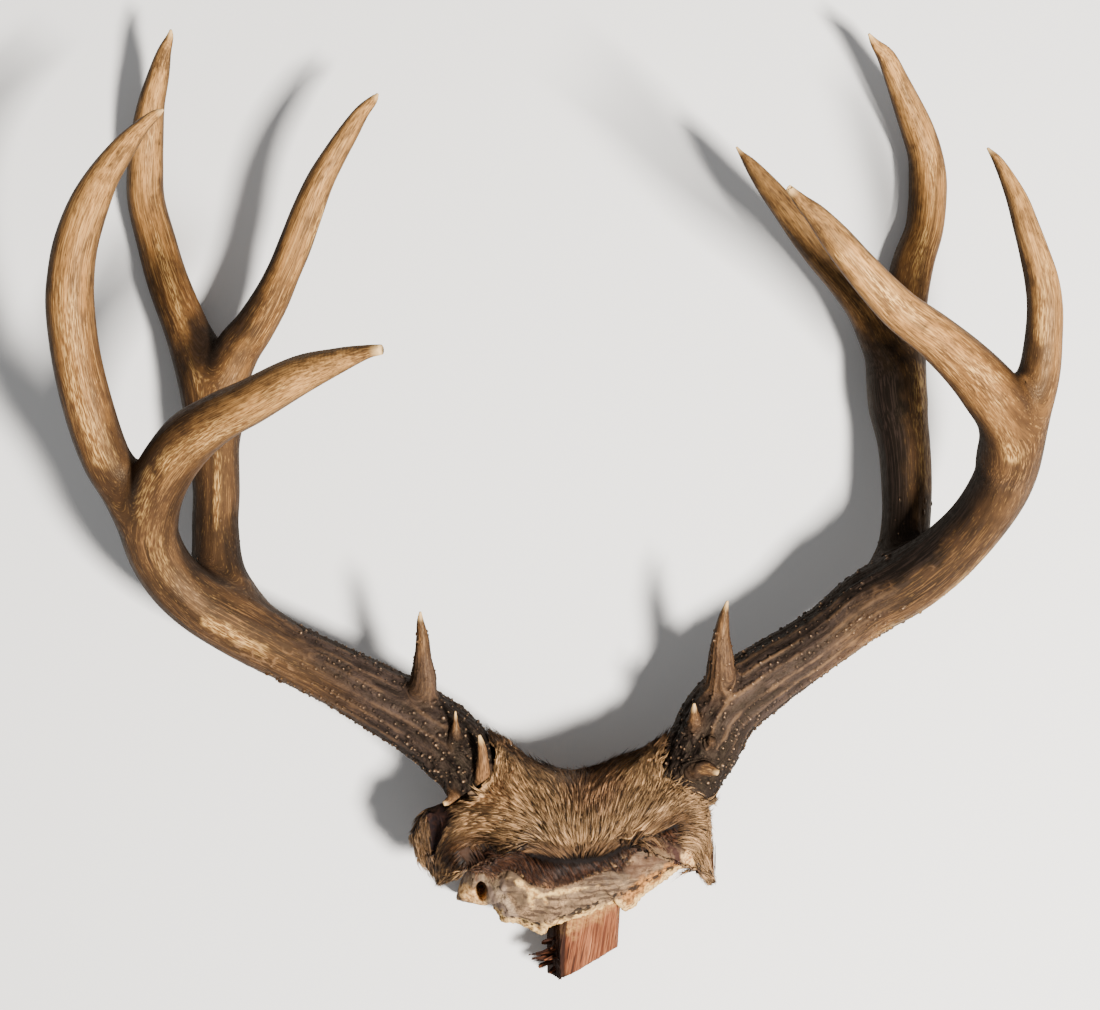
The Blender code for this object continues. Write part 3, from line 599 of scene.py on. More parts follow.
def new_finish(name):
    """A material, its node tree and the node in it that is the surface."""
    made = bpy.data.materials.new(name)
    made.use_nodes = True
    return made, made.node_tree, made.node_tree.nodes["Principled BSDF"]


def dress(finish, *pieces):
    for piece in pieces:
        piece.data.materials.clear()
        piece.data.materials.append(finish)


def shade(r, g, b):
    """A colour as it shows on a screen, from 0 to 255, as light."""
    parts = [c / 255 for c in (r, g, b)]
    return (*[c / 12.92 if c <= 0.04045 else ((c + 0.055) / 1.055) ** 2.4 for c in parts], 1.0)


# The uneven colour that antler, bone, hide and wood all have: noise with so many lumps a metre each way.
natural_grain = bpy.data.node_groups.new("natural grain", "ShaderNodeTree")
kinds = {"Place": "Vector", "Lumps a metre": "Vector", "Detail": "Float", "Rough": "Float"}
for name, kind in kinds.items():
    natural_grain.interface.new_socket(name, in_out="INPUT", socket_type="NodeSocket" + kind)
natural_grain.interface.new_socket("Value", in_out="OUTPUT", socket_type="NodeSocketFloat")
entry = natural_grain.nodes.new("NodeGroupInput").outputs
counted = {0: entry["Place"], 1: entry["Lumps a metre"]}
counted = add(natural_grain, "VectorMath", counted, operation="MULTIPLY").outputs[0]
lumps = add(natural_grain, "TexNoise", {
    "Vector": counted, "Scale": 1.0, "Detail": entry["Detail"], "Roughness": entry["Rough"]})
feed(natural_grain, natural_grain.nodes.new("NodeGroupOutput"), {"Value": lumps.outputs[0]})


def streaks(tree, grain, width, length, detail=2.0, across=None, rough=0.5):
    """The natural grain drawn out along Z: width and length of one streak in millimetres. Where it says
    across, that is the streak's size along X."""
    lumps = tuple(1 / (size * MM) for size in (across or width, width, length))
    inputs = {"Place": grain, "Lumps a metre": lumps, "Detail": detail, "Rough": rough}
    return add(tree, "Group", inputs, node_tree=natural_grain).outputs["Value"]


def clouds(tree, place, size):
    """The natural grain with round lumps of this size in millimetres."""
    return streaks(tree, place, size, size, 4.0, rough=0.6)


antler_finish, tree, skin = new_finish("polished antler")
grain = add(tree, "Attribute", attribute_name="grain").outputs["Vector"]
trunk, pearl, groove, crest, ahead, crotch, stain, gleam, bare, lee = noted(
    tree, "trunk", "pearl", "groove", "crest", "ahead", "crotch", "stain", "gleam", "bare", "lee")
reach = add(tree, "SeparateXYZ", {0: grain}).outputs[2]
broad = streaks(tree, grain, 6, 38, 3.0)
patches = streaks(tree, grain, 9, 15, 3.0)
specks = streaks(tree, grain, 1.8, 2.6, 1.0)
fleck = streaks(tree, grain, 0.55, 5, 3.0)
fine = streaks(tree, grain, 0.75, 34, 2.0)
gravel = streaks(tree, grain, 0.8, 1.3, 2.0)
upper = between(tree, reach, 0.24, 0.39)
apart = between(tree, crotch, 0.0, 0.4, 1.0, 0.0)
polished = mix(tree, (broad, 0.3, 0.7), (98, 65, 36), (164, 114, 61))
rubbed = mix(tree, (broad, 0.3, 0.7), (46, 33, 23), (90, 64, 41))
pale_line = mix(tree, upper, (160, 116, 72), (232, 178, 108))
# The gold of the painted highlights.
gold = mix(tree, (fleck, 0.38, 0.56), (238, 188, 114), (118, 80, 45))
colour = coats(
    tree, mix(tree, upper, rubbed, polished),
    (times(tree, upper, (ahead, 0.02, 0.17, 0.55, 0.0)), (214, 160, 96)),  # paler towards the tips
    ((patches, 0.47, 0.68, 0.0, 0.7), (78, 54, 35)),
    ((fleck, 0.5, 0.72, 0.0, 0.6), (58, 40, 27)),
    (times(tree, (upper, 0.0, 1.0, 0.5, 1.0), (fleck, 0.3, 0.43, 0.5, 0.0)), (214, 164, 98)),
    ((specks, 0.72, 0.78, 0.0, 0.6), (46, 30, 20)),
    (times(tree, apart, (fine, 0.53, 0.61, 0.0, 0.5)), (54, 37, 25)),
    (times(tree, apart, (fine, 0.36, 0.42, 0.45, 0.0)), pale_line),
    # Painted shade in the grooves and in a ring round each pearl.
    (times(tree, groove, 0.5), (54, 38, 27)),
    # Painted shade on the side away from the light, on the flanks and the back.
    (times(tree, lee, 0.88), (30, 20, 15)),
    # Painted highlight where the light catches the beams and tines.
    (times(tree, gleam, (broad, 0.35, 0.6, 0.85, 0.25)), gold),
)
dark = coats(
    tree, mix(tree, (broad, 0.35, 0.65), (40, 32, 31), (68, 55, 50)),
    ((fleck, 0.5, 0.7, 0.0, 0.5), (96, 74, 56)),
    ((gravel, 0.52, 0.68, 0.0, 0.6), (22, 17, 15)),
    ((reach, 0.0, 0.075, 0.7, 0.0), (28, 22, 19)),
    # Painted shade in the grooves and in a ring round each pearl.
    (times(tree, groove, 0.85), (18, 14, 13)),
    # Pale ridges, and a painted highlight on the raised veins.
    (times(tree, crest, 0.65), (118, 90, 64)),
    # Painted highlight on the trunk.
    (times(tree, gleam, (fleck, 0.4, 0.56, 0.9, 0.2)), (170, 124, 76)),
    # Painted shade on the trunk's side away from the light.
    (times(tree, lee, 0.65), (14, 11, 11)),
)
colour = coats(
    tree, colour,
    # Pale ridges, and a painted highlight on the raised veins.
    (times(tree, crest, 0.6), (176, 134, 94)),
    (trunk, dark),
    (bare, mix(tree, (fleck, 0.35, 0.65), (142, 102, 66), (72, 50, 35))),
    # Stains and painted shadow: near black where other branches shade the bone.
    (stain, mix(tree, (fine, 0.48, 0.62), (9, 7, 8), (36, 28, 26))),
    # Painted shade in the crotches between branches.
    ((crotch, 0.15, 0.9, 0.0, 0.5), (27, 18, 14)),
    ((pearl, 0.5, 0.9, 0.0, 0.4), (110, 84, 64)),
    # Painted highlight on the crown of each pearl.
    ((pearl, 0.86, 0.97, 0.0, 0.7), (204, 168, 130)),
    ((ahead, 0.0, 0.0065, 0.95, 0.0), (230, 190, 130)),  # the worn end of each tip
)
worn = times(tree, sums(tree, "MAXIMUM", trunk, stain), 0.15)
worn = sums(tree, "ADD", (fleck, 0.3, 0.7, 0.38, 0.6), worn)
lines = sums(tree, "ADD", fleck, times(tree, fine, 0.6))
lines = sums(tree, "ADD", lines, times(tree, gravel, times(tree, trunk, 1.2)))
feed(tree, skin, {
    "Base Color": colour, "Roughness": sums(tree, "SUBTRACT", worn, times(tree, pearl, 0.28)),
    "Normal": bumps(tree, lines, 0.7, 0.3), "Specular IOR Level": 0.2,
    "Specular Tint": (1.0, 0.74, 0.46, 1.0),
})
dress(antler_finish, left_antler, right_antler)


# ---------------------------------------------------------------- the skull plate
# The sawn roof of the skull that both antlers grow from: dry bone under grey dried tissue. The saw
# left a pale crumbly edge with a dark gritty line above it, and cut through the left eye socket.

PLATE_VOXEL = 0.9 * MM
SAWN_EDGE = [
    (-31, -226), (-29, -231), (-21, -231), (-14, -234), (-7, -238), (-2, -234), (6, -231), (17, -228),
    (29, -223), (36, -220), (41, -225), (46, -222), (51, -216), (56, -212), (62, -208), (70, -202),
]
GRITTY_LINE = [
    (-30, -227), (-20, -226), (-8, -231), (3, -227), (15, -222), (34, -214), (52, -206), (66, -199),
]
CRACKED_STRUT = [(-47, -203), (-39, -200), (-34, -208), (-30, -218), (-26, -228)]
CREAM_RIM = [(-19, -205), (-13, -209.4), (-7.6, -213), (-2, -212), (4.4, -210.5), (13, -209), (25, -207.5)]
CREAM_DRIPS = [(-12, -209), (-11, -219)], [(-5, -212), (-4, -217)]
SOCKET_FACE = [(-49, -215), (-41, -219)]
ORANGE_BONE = [(42, -219), (54, -208), (68, -200)]
FLESH = [(44, -199), (56, -192), (68, -187)]
# Where the scalp has dried on to the bone: x and y of the middle, and how far it reaches.
SCALPS = [(76, -163, 13), (-46, -192, 9), (-34, -195, 8)]
FRONT, UPPER_FRONT = (0.004, 0.012), (0.03, 0.04)  # z over which the plate's front and its upper part begin


def copied(node, name, voxel):
    """A copy of a CAD node with its corners merged, remade as an even skin that can take relief."""
    bpy.ops.object.select_all(action="DESELECT")
    made = bpy.data.objects.new(name, bpy.data.objects[node].data.copy())
    bpy.context.collection.objects.link(made)
    made.data.materials.clear()
    made.select_set(True)
    bpy.context.view_layer.objects.active = made
    bpy.ops.object.mode_set(mode="EDIT")
    bpy.ops.mesh.select_all(action="SELECT")
    bpy.ops.mesh.remove_doubles(threshold=0.01 * MM)
    bpy.ops.object.mode_set(mode="OBJECT")
    apply_modifier(made, "REMESH", mode="VOXEL", voxel_size=voxel)
    return made


def off_line(places, line):
    """How far each place is from a line of points, in millimetres, seen from the front."""
    here = places[:, :2] / MM
    corners = np.array(line, float)
    gaps = []
    for a, b in zip(corners, corners[1:]):
        t = np.clip((here - a) @ (b - a) / (b - a).dot(b - a), 0, 1)
        gaps.append(np.linalg.norm(here - a - t[:, None] * (b - a), axis=1))
    return np.min(gaps, axis=0)


def off_spot(places, spot):
    """How far each place is from a point, in millimetres, seen from the front."""
    return np.linalg.norm(places[:, :2] / MM - spot, axis=1)


skull_plate = copied("skull_plate", "sawn_skull_plate", PLATE_VOXEL)
apply_modifier(skull_plate, "SMOOTH", factor=0.5, iterations=5)
places = places_of(skull_plate.data)
uneven = 1.6 * mottle(places, 4.5, 31) + 0.8 * mottle(places, 1.6, 32)
lumps, grains, crumbs = [mottle(places, size, seed) for size, seed in ((7, 33), (2.2, 34), (1.3, 35))]
front, upper_front = ease(*FRONT, places[:, 2]), ease(*UPPER_FRONT, places[:, 2])
sawn = (1 - ease(3.0, 5.2, off_line(places, SAWN_EDGE) + uneven)) * front
sawn *= 0.3 + 0.7 * ease(0.022, 0.042, places[:, 2])
grit = (1 - ease(0.2, 1.6, off_line(places, GRITTY_LINE) + 0.8 * uneven)) * upper_front
grit = grit * ease(-0.35, 0.25, grains + 1.2 * crumbs)
strut = (1 - ease(5.5, 8.5, off_line(places, CRACKED_STRUT) + uneven)) * front
slim = 1.6 * ease(0.0, 0.024, places[:, 0])
cream = 1 - ease(0.8, 2.3, off_line(places, CREAM_RIM) + 0.8 * uneven + slim)
for drip in CREAM_DRIPS:
    cream = np.maximum(cream, 0.8 * (1 - ease(0.6, 2.2, off_line(places, drip) + uneven)))
cream = cream * upper_front
socket = (1 - ease(3.0, 5.5, off_line(places, SOCKET_FACE) + 0.5 * uneven)) * front
bone = (1 - ease(4.0, 8.0, off_line(places, ORANGE_BONE) + 2 * uneven)) * front
flesh = (1 - ease(3.0, 7.0, off_line(places, FLESH) + 1.5 * uneven)) * front
pit = flesh * ease(0.35, 0.6, mottle(places, 3.2, 37))
scalp = np.max([1 - ease(0.8, 1.1, off_spot(places, spot) / reach) for *spot, reach in SCALPS], axis=0)
crack = strut * (1 - ease(0.02, 0.12, np.abs(mottle(places, 3.4, 36) + 0.3 * crumbs)))
crack = crack * ease(-0.3, 0.2, lumps)
height = 0.5 * lumps + 0.28 * grains + 0.16 * crumbs
height += sawn * (0.5 * grains + 0.55 * crumbs) - 0.8 * grit - 0.55 * crack - 1.8 * pit
places = places + normals_of(skull_plate.data) * (MM * front * height)[:, None]
places[:, 2] = np.maximum(places[:, 2], 0.05 * MM)
place_at(skull_plate.data, places)
note(
    skull_plate.data, sawn=sawn, grit=np.maximum(grit, pit), strut=strut, socket=socket, bone=bone,
    flesh=flesh, scalp=scalp, crack=crack, cream=cream)
bpy.ops.object.shade_smooth()
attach(skull_plate, "root")
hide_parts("skull_plate")

bone_finish, tree, skin = new_finish("dried tissue and sawn bone")
object_place = add(tree, "TexCoord").outputs["Object"]
sawn, grit, strut, socket, bone, flesh, scalp, crack, cream = noted(
    tree, "sawn", "grit", "strut", "socket", "bone", "flesh", "scalp", "crack", "cream")
wide, small, tiny = [clouds(tree, object_place, size) for size in (9, 2.2, 0.8)]
banded = streaks(tree, object_place, 2.2, 2.2, 3.0, across=16)
cells = {"Vector": object_place, "Scale": 1 / (2.6 * MM)}
cells = add(tree, "TexVoronoi", cells, feature="DISTANCE_TO_EDGE").outputs["Distance"]
crackle = times(tree, (cells, 0.0, 0.07, 1.0, 0.0), (wide, 0.42, 0.6, 0.0, 0.75))
colour = coats(
    tree, mix(tree, (wide, 0.35, 0.65), (92, 74, 56), (142, 113, 84)),
    ((banded, 0.5, 0.62, 0.0, 0.85), (62, 46, 34)),
    ((banded, 0.3, 0.42, 0.5, 0.0), (176, 142, 102)),
    ((small, 0.5, 0.7, 0.0, 0.8), (58, 43, 32)),
    (bone, mix(tree, (small, 0.4, 0.6), (180, 122, 62), (108, 72, 40))),
    (strut, mix(tree, (wide, 0.4, 0.6), (122, 102, 88), (182, 154, 122))),
    (crackle, (52, 40, 32)),
    (sawn, mix(tree, (small, 0.42, 0.66), (232, 190, 122), (132, 93, 56))),
    (socket, mix(tree, (small, 0.4, 0.66), (238, 190, 126), (160, 112, 66))),
    (cream, mix(tree, (small, 0.4, 0.62), (236, 194, 122), (160, 118, 74))),
    (times(tree, flesh, 0.6), (88, 60, 42)),
    ((tiny, 0.58, 0.72, 0.0, 0.55), (58, 44, 34)),
    (scalp, (34, 23, 17)),
    ((grit, 0.2, 0.8, 0.0, 0.92), (28, 20, 15)),
    (times(tree, crack, 0.85), (38, 28, 22)),
)
feed(tree, skin, {
    "Base Color": colour, "Roughness": (small, 0.3, 0.7, 0.62, 0.92), "Specular IOR Level": 0.25,
    "Normal": bumps(tree, sums(tree, "ADD", small, tiny), 0.6, 0.5),
})
dress(bone_finish, skull_plate)


# ---------------------------------------------------------------- the hide's skin
# The forehead's skin, dried on to the bone. It folds in a deep crease above its lower fringe, its
# cut edge is cream, and on the left it ends in the dark hollow foot of an ear.

HIDE_VOXEL = 1.0 * MM
HAIR_DEPTH, LOBE_HAIR_DEPTH = 2.4 * MM, 1.5 * MM  # from the solid's surface down to the skin
CREASE = [(-47, -180), (-29, -183), (-12, -189), (7, -193), (26, -192), (48, -182), (66, -173)]
CUT_EDGE = [(-24, -203), (-15, -210), (-4, -213), (12, -209), (28, -204)]
BARE_SPOT, BARE_PIT = (77, -192), (75, -187)
# The ear's hollow, with the skin in the shade under the nub beside it; its dark is partly painted shade.
HOLLOW = [
    (-69, -168), (-64, -163), (-56, -162), (-50, -165), (-53, -170), (-57, -176), (-60, -183), (-63, -189),
    (-67, -190), (-69, -184), (-68, -176),
]
HOLLOW_DEPTH = 1.1 * MM
LOBE_SPAN = (-0.056, -0.042)  # x over which the ear's lobe gives way to the forehead
# The pit of the CAD solid there: its middle, how wide and long, and the height and slopes it is filled to.
HOLLOW_PIT, HOLLOW_FLOOR = (-67, -178, 6.0, 12.5), (62, 0.625, -0.02)
TISSUE = [
    (42, -203), (42, -193), (47, -186), (53, -180.5), (60, -178.5), (66, -184), (80, -191), (80, -198),
    (78, -201), (60, -204),
]


def deep_in(places, outline):
    """How deep each place is in a closed outline, in millimetres seen from the front, or below 0."""
    here, corners = places[:, :2] / MM, np.array(outline, float)
    odd = np.zeros(len(here), bool)
    for a, b in zip(corners, np.roll(corners, -1, axis=0)):
        if a[1] != b[1]:
            level = (here[:, 1] < a[1]) != (here[:, 1] < b[1])
            odd ^= level & (here[:, 0] < a[0] + (here[:, 1] - a[1]) * (b[0] - a[0]) / (b[1] - a[1]))
    gap = off_line(places, [*outline, outline[0]])
    return np.where(odd, gap, -gap)


hide_skin = copied("hide", "hide_skin", HIDE_VOXEL)
apply_modifier(hide_skin, "SMOOTH", factor=0.5, iterations=8)
places, outward = places_of(hide_skin.data), normals_of(hide_skin.data)
pit_x, pit_y, pit_wide, pit_long = HOLLOW_PIT
across, up = places[:, 0] / MM - pit_x, places[:, 1] / MM - pit_y
pit_floor = HOLLOW_FLOOR[0] + HOLLOW_FLOOR[1] * across + HOLLOW_FLOOR[2] * up**2
in_pit = ((across / pit_wide) ** 2 + (up / pit_long) ** 2 < 1) & (outward[:, 2] > 0.02)
places[:, 2] = np.where(in_pit, np.maximum(places[:, 2], MM * pit_floor), places[:, 2])
lobe = 1 - ease(*LOBE_SPAN, places[:, 0])
cut = 1 - ease(2.5, 6.0, off_line(places, CUT_EDGE))
depth = (HAIR_DEPTH + (LOBE_HAIR_DEPTH - HAIR_DEPTH) * lobe) * (1 - cut) * ease(-0.6, 0.0, outward[:, 2])
wrinkles = 0.45 * mottle(places, 5, 41) + 0.2 * mottle(places, 1.8, 42)
frayed = 1.1 * mottle(places, 2.5, 43)
hollow = deep_in(places, HOLLOW) + frayed
depth += HOLLOW_DEPTH * ease(0.0, 7.0, hollow) * ease(0.2, 0.7, outward[:, 2])
hollow = ease(-1.5, 1.5, hollow)
tissue = ease(-1.0, 1.0, deep_in(places, TISSUE) + frayed)
place_at(hide_skin.data, places - outward * (depth - MM * wrinkles)[:, None])
cut_face = 1 - ease(3.4, 4.6, off_line(places, CUT_EDGE) + 0.8 * frayed)
bare = 1 - ease(4.0, 6.0, off_spot(places, BARE_SPOT) + 2 * frayed)
bare_pit = 1 - ease(1.0, 2.0, off_spot(places, BARE_PIT) + frayed)
# Crease: painted shade in the fold of the crease and in the pit by the bare spot.
crease = np.maximum(1 - ease(2.0, 7.0, off_line(places, CREASE)), bare_pit)
note(
    hide_skin.data, hollow=hollow, crease=crease, cut=np.maximum(cut_face, 0.8 * bare),
    flesh=ease(0.1, 0.5, -outward[:, 2]), tissue=tissue)
bpy.ops.object.shade_smooth()
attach(hide_skin, "root")
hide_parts("hide")

hide_finish, tree, skin = new_finish("dried hide")
object_place = add(tree, "TexCoord").outputs["Object"]
hollow, crease, cut, flesh, tissue = noted(tree, "hollow", "crease", "cut", "flesh", "tissue")
wide, small = [clouds(tree, object_place, size) for size in (8, 1.6)]
membrane = mix(tree, (wide, 0.42, 0.6), (62, 40, 33), (116, 92, 68))
colour = coats(
    tree, mix(tree, (wide, 0.35, 0.65), (34, 23, 17), (58, 40, 29)),
    (flesh, mix(tree, (wide, 0.4, 0.6), (150, 118, 84), (104, 78, 56))),
    (tissue, mix(tree, (small, 0.56, 0.68, 0.0, 0.85), membrane, (24, 14, 12))),
    # Painted shade in the crease.
    (crease, (16, 10, 8)),
    # Dark skin in the ear's hollow and under the nub, darkened further as painted shade.
    (hollow, mix(tree, (wide, 0.42, 0.62), (26, 17, 18), (52, 31, 23))),
    (cut, mix(tree, (small, 0.4, 0.62), (236, 190, 128), (150, 104, 66))),
)
feed(tree, skin, {
    "Base Color": colour, "Roughness": (small, 0.3, 0.7, 0.65, 0.9), "Specular IOR Level": 0.15,
    "Normal": bumps(tree, small, 0.7, 0.5),
})
dress(hide_finish, hide_skin)


# ---------------------------------------------------------------- the hair
# Coarse winter hair, 15 to 25 mm long, lying low. Each hair is dark brown at its root and tan above,
# and they cling together in slim locks. It parts in the middle of the forehead and sweeps to both sides.

HAIRS, HAIRS_IN_A_PIECE, LOCKS = 95000, 19000, 56000
HAIR_STEPS = 2
HAIR_LENGTH, HAIR_RADIUS = (15 * MM, 25 * MM), 0.135 * MM
FUZZ = (0.3 * MM, 3.6 * MM)  # how far a lock may stand off past an edge that its roots don't reach
HOLLOW_FUZZ = (2.0 * MM, 6.0 * MM)  # and round the ear's hollow, which the fur hangs over
LOCK_PULL = 0.2  # how far the hairs of a lock have drawn together at their tips
HAIR_RISE = (1.9 * MM, 2.4 * MM)  # how high the middle and the tip of the topmost hairs lie
# Tufts that hang past an edge: x, y, z of the root and of the tip, in millimetres, and how many hairs.
TUFTS = [
    (84.5, -186, 49, 87.5, -207, 47, 420), (-60, -192, 50, -63.5, -208, 46, 240),
    (-52, -190, 50, -55, -198, 49, 90),
]
TUFT_SPREAD = (2.2, 2.6, 1.2)  # along each axis, in millimetres
TUFT_TAPER = (1.0, 0.75, 0.3)  # how much of that spread the hairs have at each step
TUFT_LIFT = 0.8 * MM  # how far a tuft stands off, apart from its roots
BURR_TOP = -0.105  # the hair may lie on what is lower than this, the feet of the antlers among it
FEET = [(-41, -151), (-53, -135)], [(71, -151), (82, -133)]  # the burrs' own lines
FOOT_REACH, FOOT_HAIR = 26, 0.5  # how near them the hair is shorter, and how short
COMB_BLEND = 6.0  # how softly one stroke of the comb gives way to the next, in millimetres
COMB_STRAY, HAIR_STRAY = 0.055, 0.09 * MM  # how far a lock turns aside at each step, and a hair strays
HAIR_SHARE, HAIR_TAPER = (0.65, 1.1), (1.0, 0.85)  # a hair's length next to its lock's, and its thickness
HAIR_FLOOR, HAIR_FACING = 0.034, -0.35  # no hair grows lower than this, or on what faces further back
OUTLINE_LAP, CUT_GAP = 0.3, 4.5  # how far roots may be inside a bare outline, and off the cut edge, in mm
HOLLOW_RIM = 9  # how far round the ear's hollow the fur hangs over it, in mm
LOBE_LESS = 0.4  # how much shorter and lower the hair is on the ear's lobe
ROOT_DEPTH = 0.4  # how deep the roots are in the skin, in millimetres
# Below the crease the hairs end so far before the cut edge, and no further on to the tissue than this.
EDGE_GAP, TISSUE_LAP = 3.6 * MM, 1.5 * MM

# Strokes of the comb: x and y of the root, then the way to the tip, above the crease and below it.
COMB_ABOVE = [
    (16, -167, 0.0, 1.0), (7, -154, -0.1, 1.0), (26, -154, 0.15, 1.0), (-4, -154, -0.5, 0.85),
    (-18, -159, -0.8, 0.6), (-29, -167, -0.95, 0.3), (-40, -172, -1.0, -0.1), (-18, -178, -0.95, 0.15),
    (1, -181, -0.45, 0.9), (-50, -180, -0.75, -0.6), (-57, -190, -0.6, -0.8), (-64, -199, -0.2, -1.0),
    (-26, -137, -0.1, 1.0), (-34, -142, 0.0, 1.0), (-10, -143, -0.2, 1.0), (48, -154, 0.5, 0.85),
    (59, -164, 0.65, 0.75), (69, -154, 0.8, 0.6), (78, -167, 1.0, 0.1), (75, -179, 0.9, -0.3),
    (84, -190, 0.35, -0.95), (85, -198, 0.3, -0.95), (37, -170, 0.35, 0.9), (53, -145, 0.25, 0.95),
    (30, -184, 0.1, 1.0), (-74, -176, 0.2, -0.95), (-72, -188, 0.4, -0.9), (-48, -172, -0.8, -0.45),
    (60, -178, 0.8, 0.5),
]
COMB_BELOW = [
    (-29, -192, 0.8, -0.55), (-42, -188, 0.5, -0.8), (-12, -197, 0.5, -0.85), (4, -202, 0.45, -0.9),
    (30, -196, 0.55, -0.8), (46, -190, 0.5, -0.85), (-20, -200, 0.6, -0.8),
]
RED_PATCH, RED_PATCH_RADIUS = (21, -162), 15
GOLD_PATCH, GOLD_PATCH_RADIUS = (-34, -160), 34
# Lines along which the hair is painted darker as shade: a fold below the crease, and the top edge where the
# hide turns away.
DARK_FOLD = [(-49, -184), (-40, -189), (-28, -193), (-16, -198)]
TOP_EDGE = [(-36, -128), (-22, -133), (-4, -145), (14, -147), (35, -141), (57, -131), (80, -150)]


def comb(places, strokes):
    """The way that the hair lies at each place, seen from the front, from the nearest strokes."""
    strokes = np.array(strokes)
    gaps = np.linalg.norm(places[:, None, :2] / MM - strokes[None, :, :2], axis=2)
    weight = (gaps**2 + COMB_BLEND**2) ** -2
    return unit(weight @ unit(strokes[:, 2:]))


def lie(places):
    """The level way that the hair lies at each place, and whether that is below the crease."""
    crease = np.array(CREASE, float)
    level = np.interp(places[:, 0] / MM, crease[:, 0], crease[:, 1], left=-999, right=-999)
    below = (places[:, 1] / MM < level)[:, None]
    flat = np.where(below, comb(places, COMB_BELOW), comb(places, COMB_ABOVE))
    return np.column_stack([flat, np.zeros(len(flat))]), below[:, 0]


def faces_of(mesh):
    mesh.calc_loop_triangles()
    return rows_of(mesh.loop_triangles, "vertices", np.int32)


def roots_on(mesh, count, rng):
    """Random places spread evenly over a mesh, with the normals there."""
    corners = faces_of(mesh)
    places, normals = places_of(mesh), normals_of(mesh)
    a, b, c = (places[corners[:, k]] for k in range(3))
    area = np.linalg.norm(np.cross(b - a, c - a), axis=1)
    pick = rng.choice(len(corners), count, p=area / area.sum())
    u, v = rng.random((2, count))
    flip = u + v > 1
    u, v = np.where(flip, 1 - u, u)[:, None], np.where(flip, 1 - v, v)[:, None]
    normal = normals[corners[pick, 0]]
    return a[pick] + u * (b[pick] - a[pick]) + v * (c[pick] - a[pick]), normal


def hairy(places, normals):
    """Where hair grows: on the front and the sides, but not in the ear's hollow or where it is bare."""
    grows = (normals[:, 2] > HAIR_FACING) & (places[:, 2] > HAIR_FLOOR)
    grows &= (deep_in(places, HOLLOW) < OUTLINE_LAP) & (deep_in(places, TISSUE) < OUTLINE_LAP)
    return grows & (off_line(places, CUT_EDGE) > CUT_GAP)


rng = np.random.default_rng(51)
under_hair, under_faces = [], []
for piece in (hide_skin, skull_plate, left_antler, right_antler):
    places, faces = places_of(piece.data), faces_of(piece.data)
    faces = faces[places[faces[:, 0], 1] < BURR_TOP] + len(under_hair)
    under_hair.extend(places.tolist())
    under_faces.extend(faces.tolist())
skin_tree = BVHTree.FromPolygons(under_hair, under_faces)


def settle(places, rise, fuzz):
    """Moves each place to the skin, then out from it by its rise, but no further than its fuzz from
    where it was past an edge. Gives the places and the normals."""
    found = [skin_tree.find_nearest(place) for place in places]
    normal = np.array([row[1] for row in found])
    settled = np.array([row[0] for row in found]) + normal * rise[:, None]
    off = places - settled
    off -= normal * np.minimum((off * normal).sum(1), 0)[:, None]
    share = np.minimum(1, fuzz / np.maximum(np.linalg.norm(off, axis=1), 1e-9))
    return settled + off * share[:, None], normal


def scatter(count):
    """Roots all over the hairy parts of the skin, and where the scalp has dried on to the bone."""
    places, normals = roots_on(hide_skin.data, 2 * count, rng)
    grows = hairy(places, normals)
    places, normals = places[grows][:count], normals[grows][:count]
    extra, extra_normals = roots_on(skull_plate.data, count, rng)
    grows = np.any([off_spot(extra, spot) < reach for *spot, reach in SCALPS], axis=0)
    grows &= (extra_normals[:, 2] > 0.0) & (extra[:, 2] > HAIR_FLOOR)
    return np.vstack([places, extra[grows]]), np.vstack([normals, extra_normals[grows]])


lock_roots, normal = scatter(LOCKS)
thin = 1 - ease(*LOBE_SPAN, lock_roots[:, 0])
lock_length = rng.uniform(*HAIR_LENGTH, len(lock_roots)) * (1 - LOBE_LESS * thin)
for foot in FEET:
    near = 1 - ease(0.75, 1.1, off_line(lock_roots, foot) / FOOT_REACH)
    lock_length *= 1 - (1 - FOOT_HAIR) * near
lock_height = rng.random(len(lock_roots))
lock_rise = (0.35 + 0.65 * lock_height) * (1 - LOBE_LESS * thin)
lock_fuzz = FUZZ[0] + (FUZZ[1] - FUZZ[0]) * rng.random(len(lock_roots)) ** 2
at_hollow = deep_in(lock_roots, HOLLOW) > -HOLLOW_RIM
lock_fuzz = np.where(at_hollow, rng.uniform(*HOLLOW_FUZZ, len(lock_roots)), lock_fuzz)
way, lock_below = lie(lock_roots)
to_edge = off_line(lock_roots, CUT_EDGE) * MM - EDGE_GAP
to_edge = np.minimum(to_edge, TISSUE_LAP - deep_in(lock_roots, TISSUE) * MM)
lock_length = np.where(lock_below, np.minimum(lock_length, 1.1 * to_edge), lock_length)
turn = rng.normal(0, COMB_STRAY, len(way))
lock_path = [lock_roots]
for step in range(HAIR_STEPS):
    way = lie(lock_path[-1])[0] if step else way
    way = np.column_stack([
        way[:, 0] * np.cos(turn) - way[:, 1] * np.sin(turn),
        way[:, 0] * np.sin(turn) + way[:, 1] * np.cos(turn),
        way[:, 2],
    ])
    way = unit(way - normal * (way * normal).sum(1)[:, None])
    ahead = lock_path[-1] + way * (lock_length / HAIR_STEPS)[:, None]
    rise = HAIR_RISE[step] * lock_rise
    ahead, normal = settle(ahead, rise, lock_fuzz * (step + 1) / HAIR_STEPS)
    lock_path.append(ahead)
lock_path = np.array(lock_path)

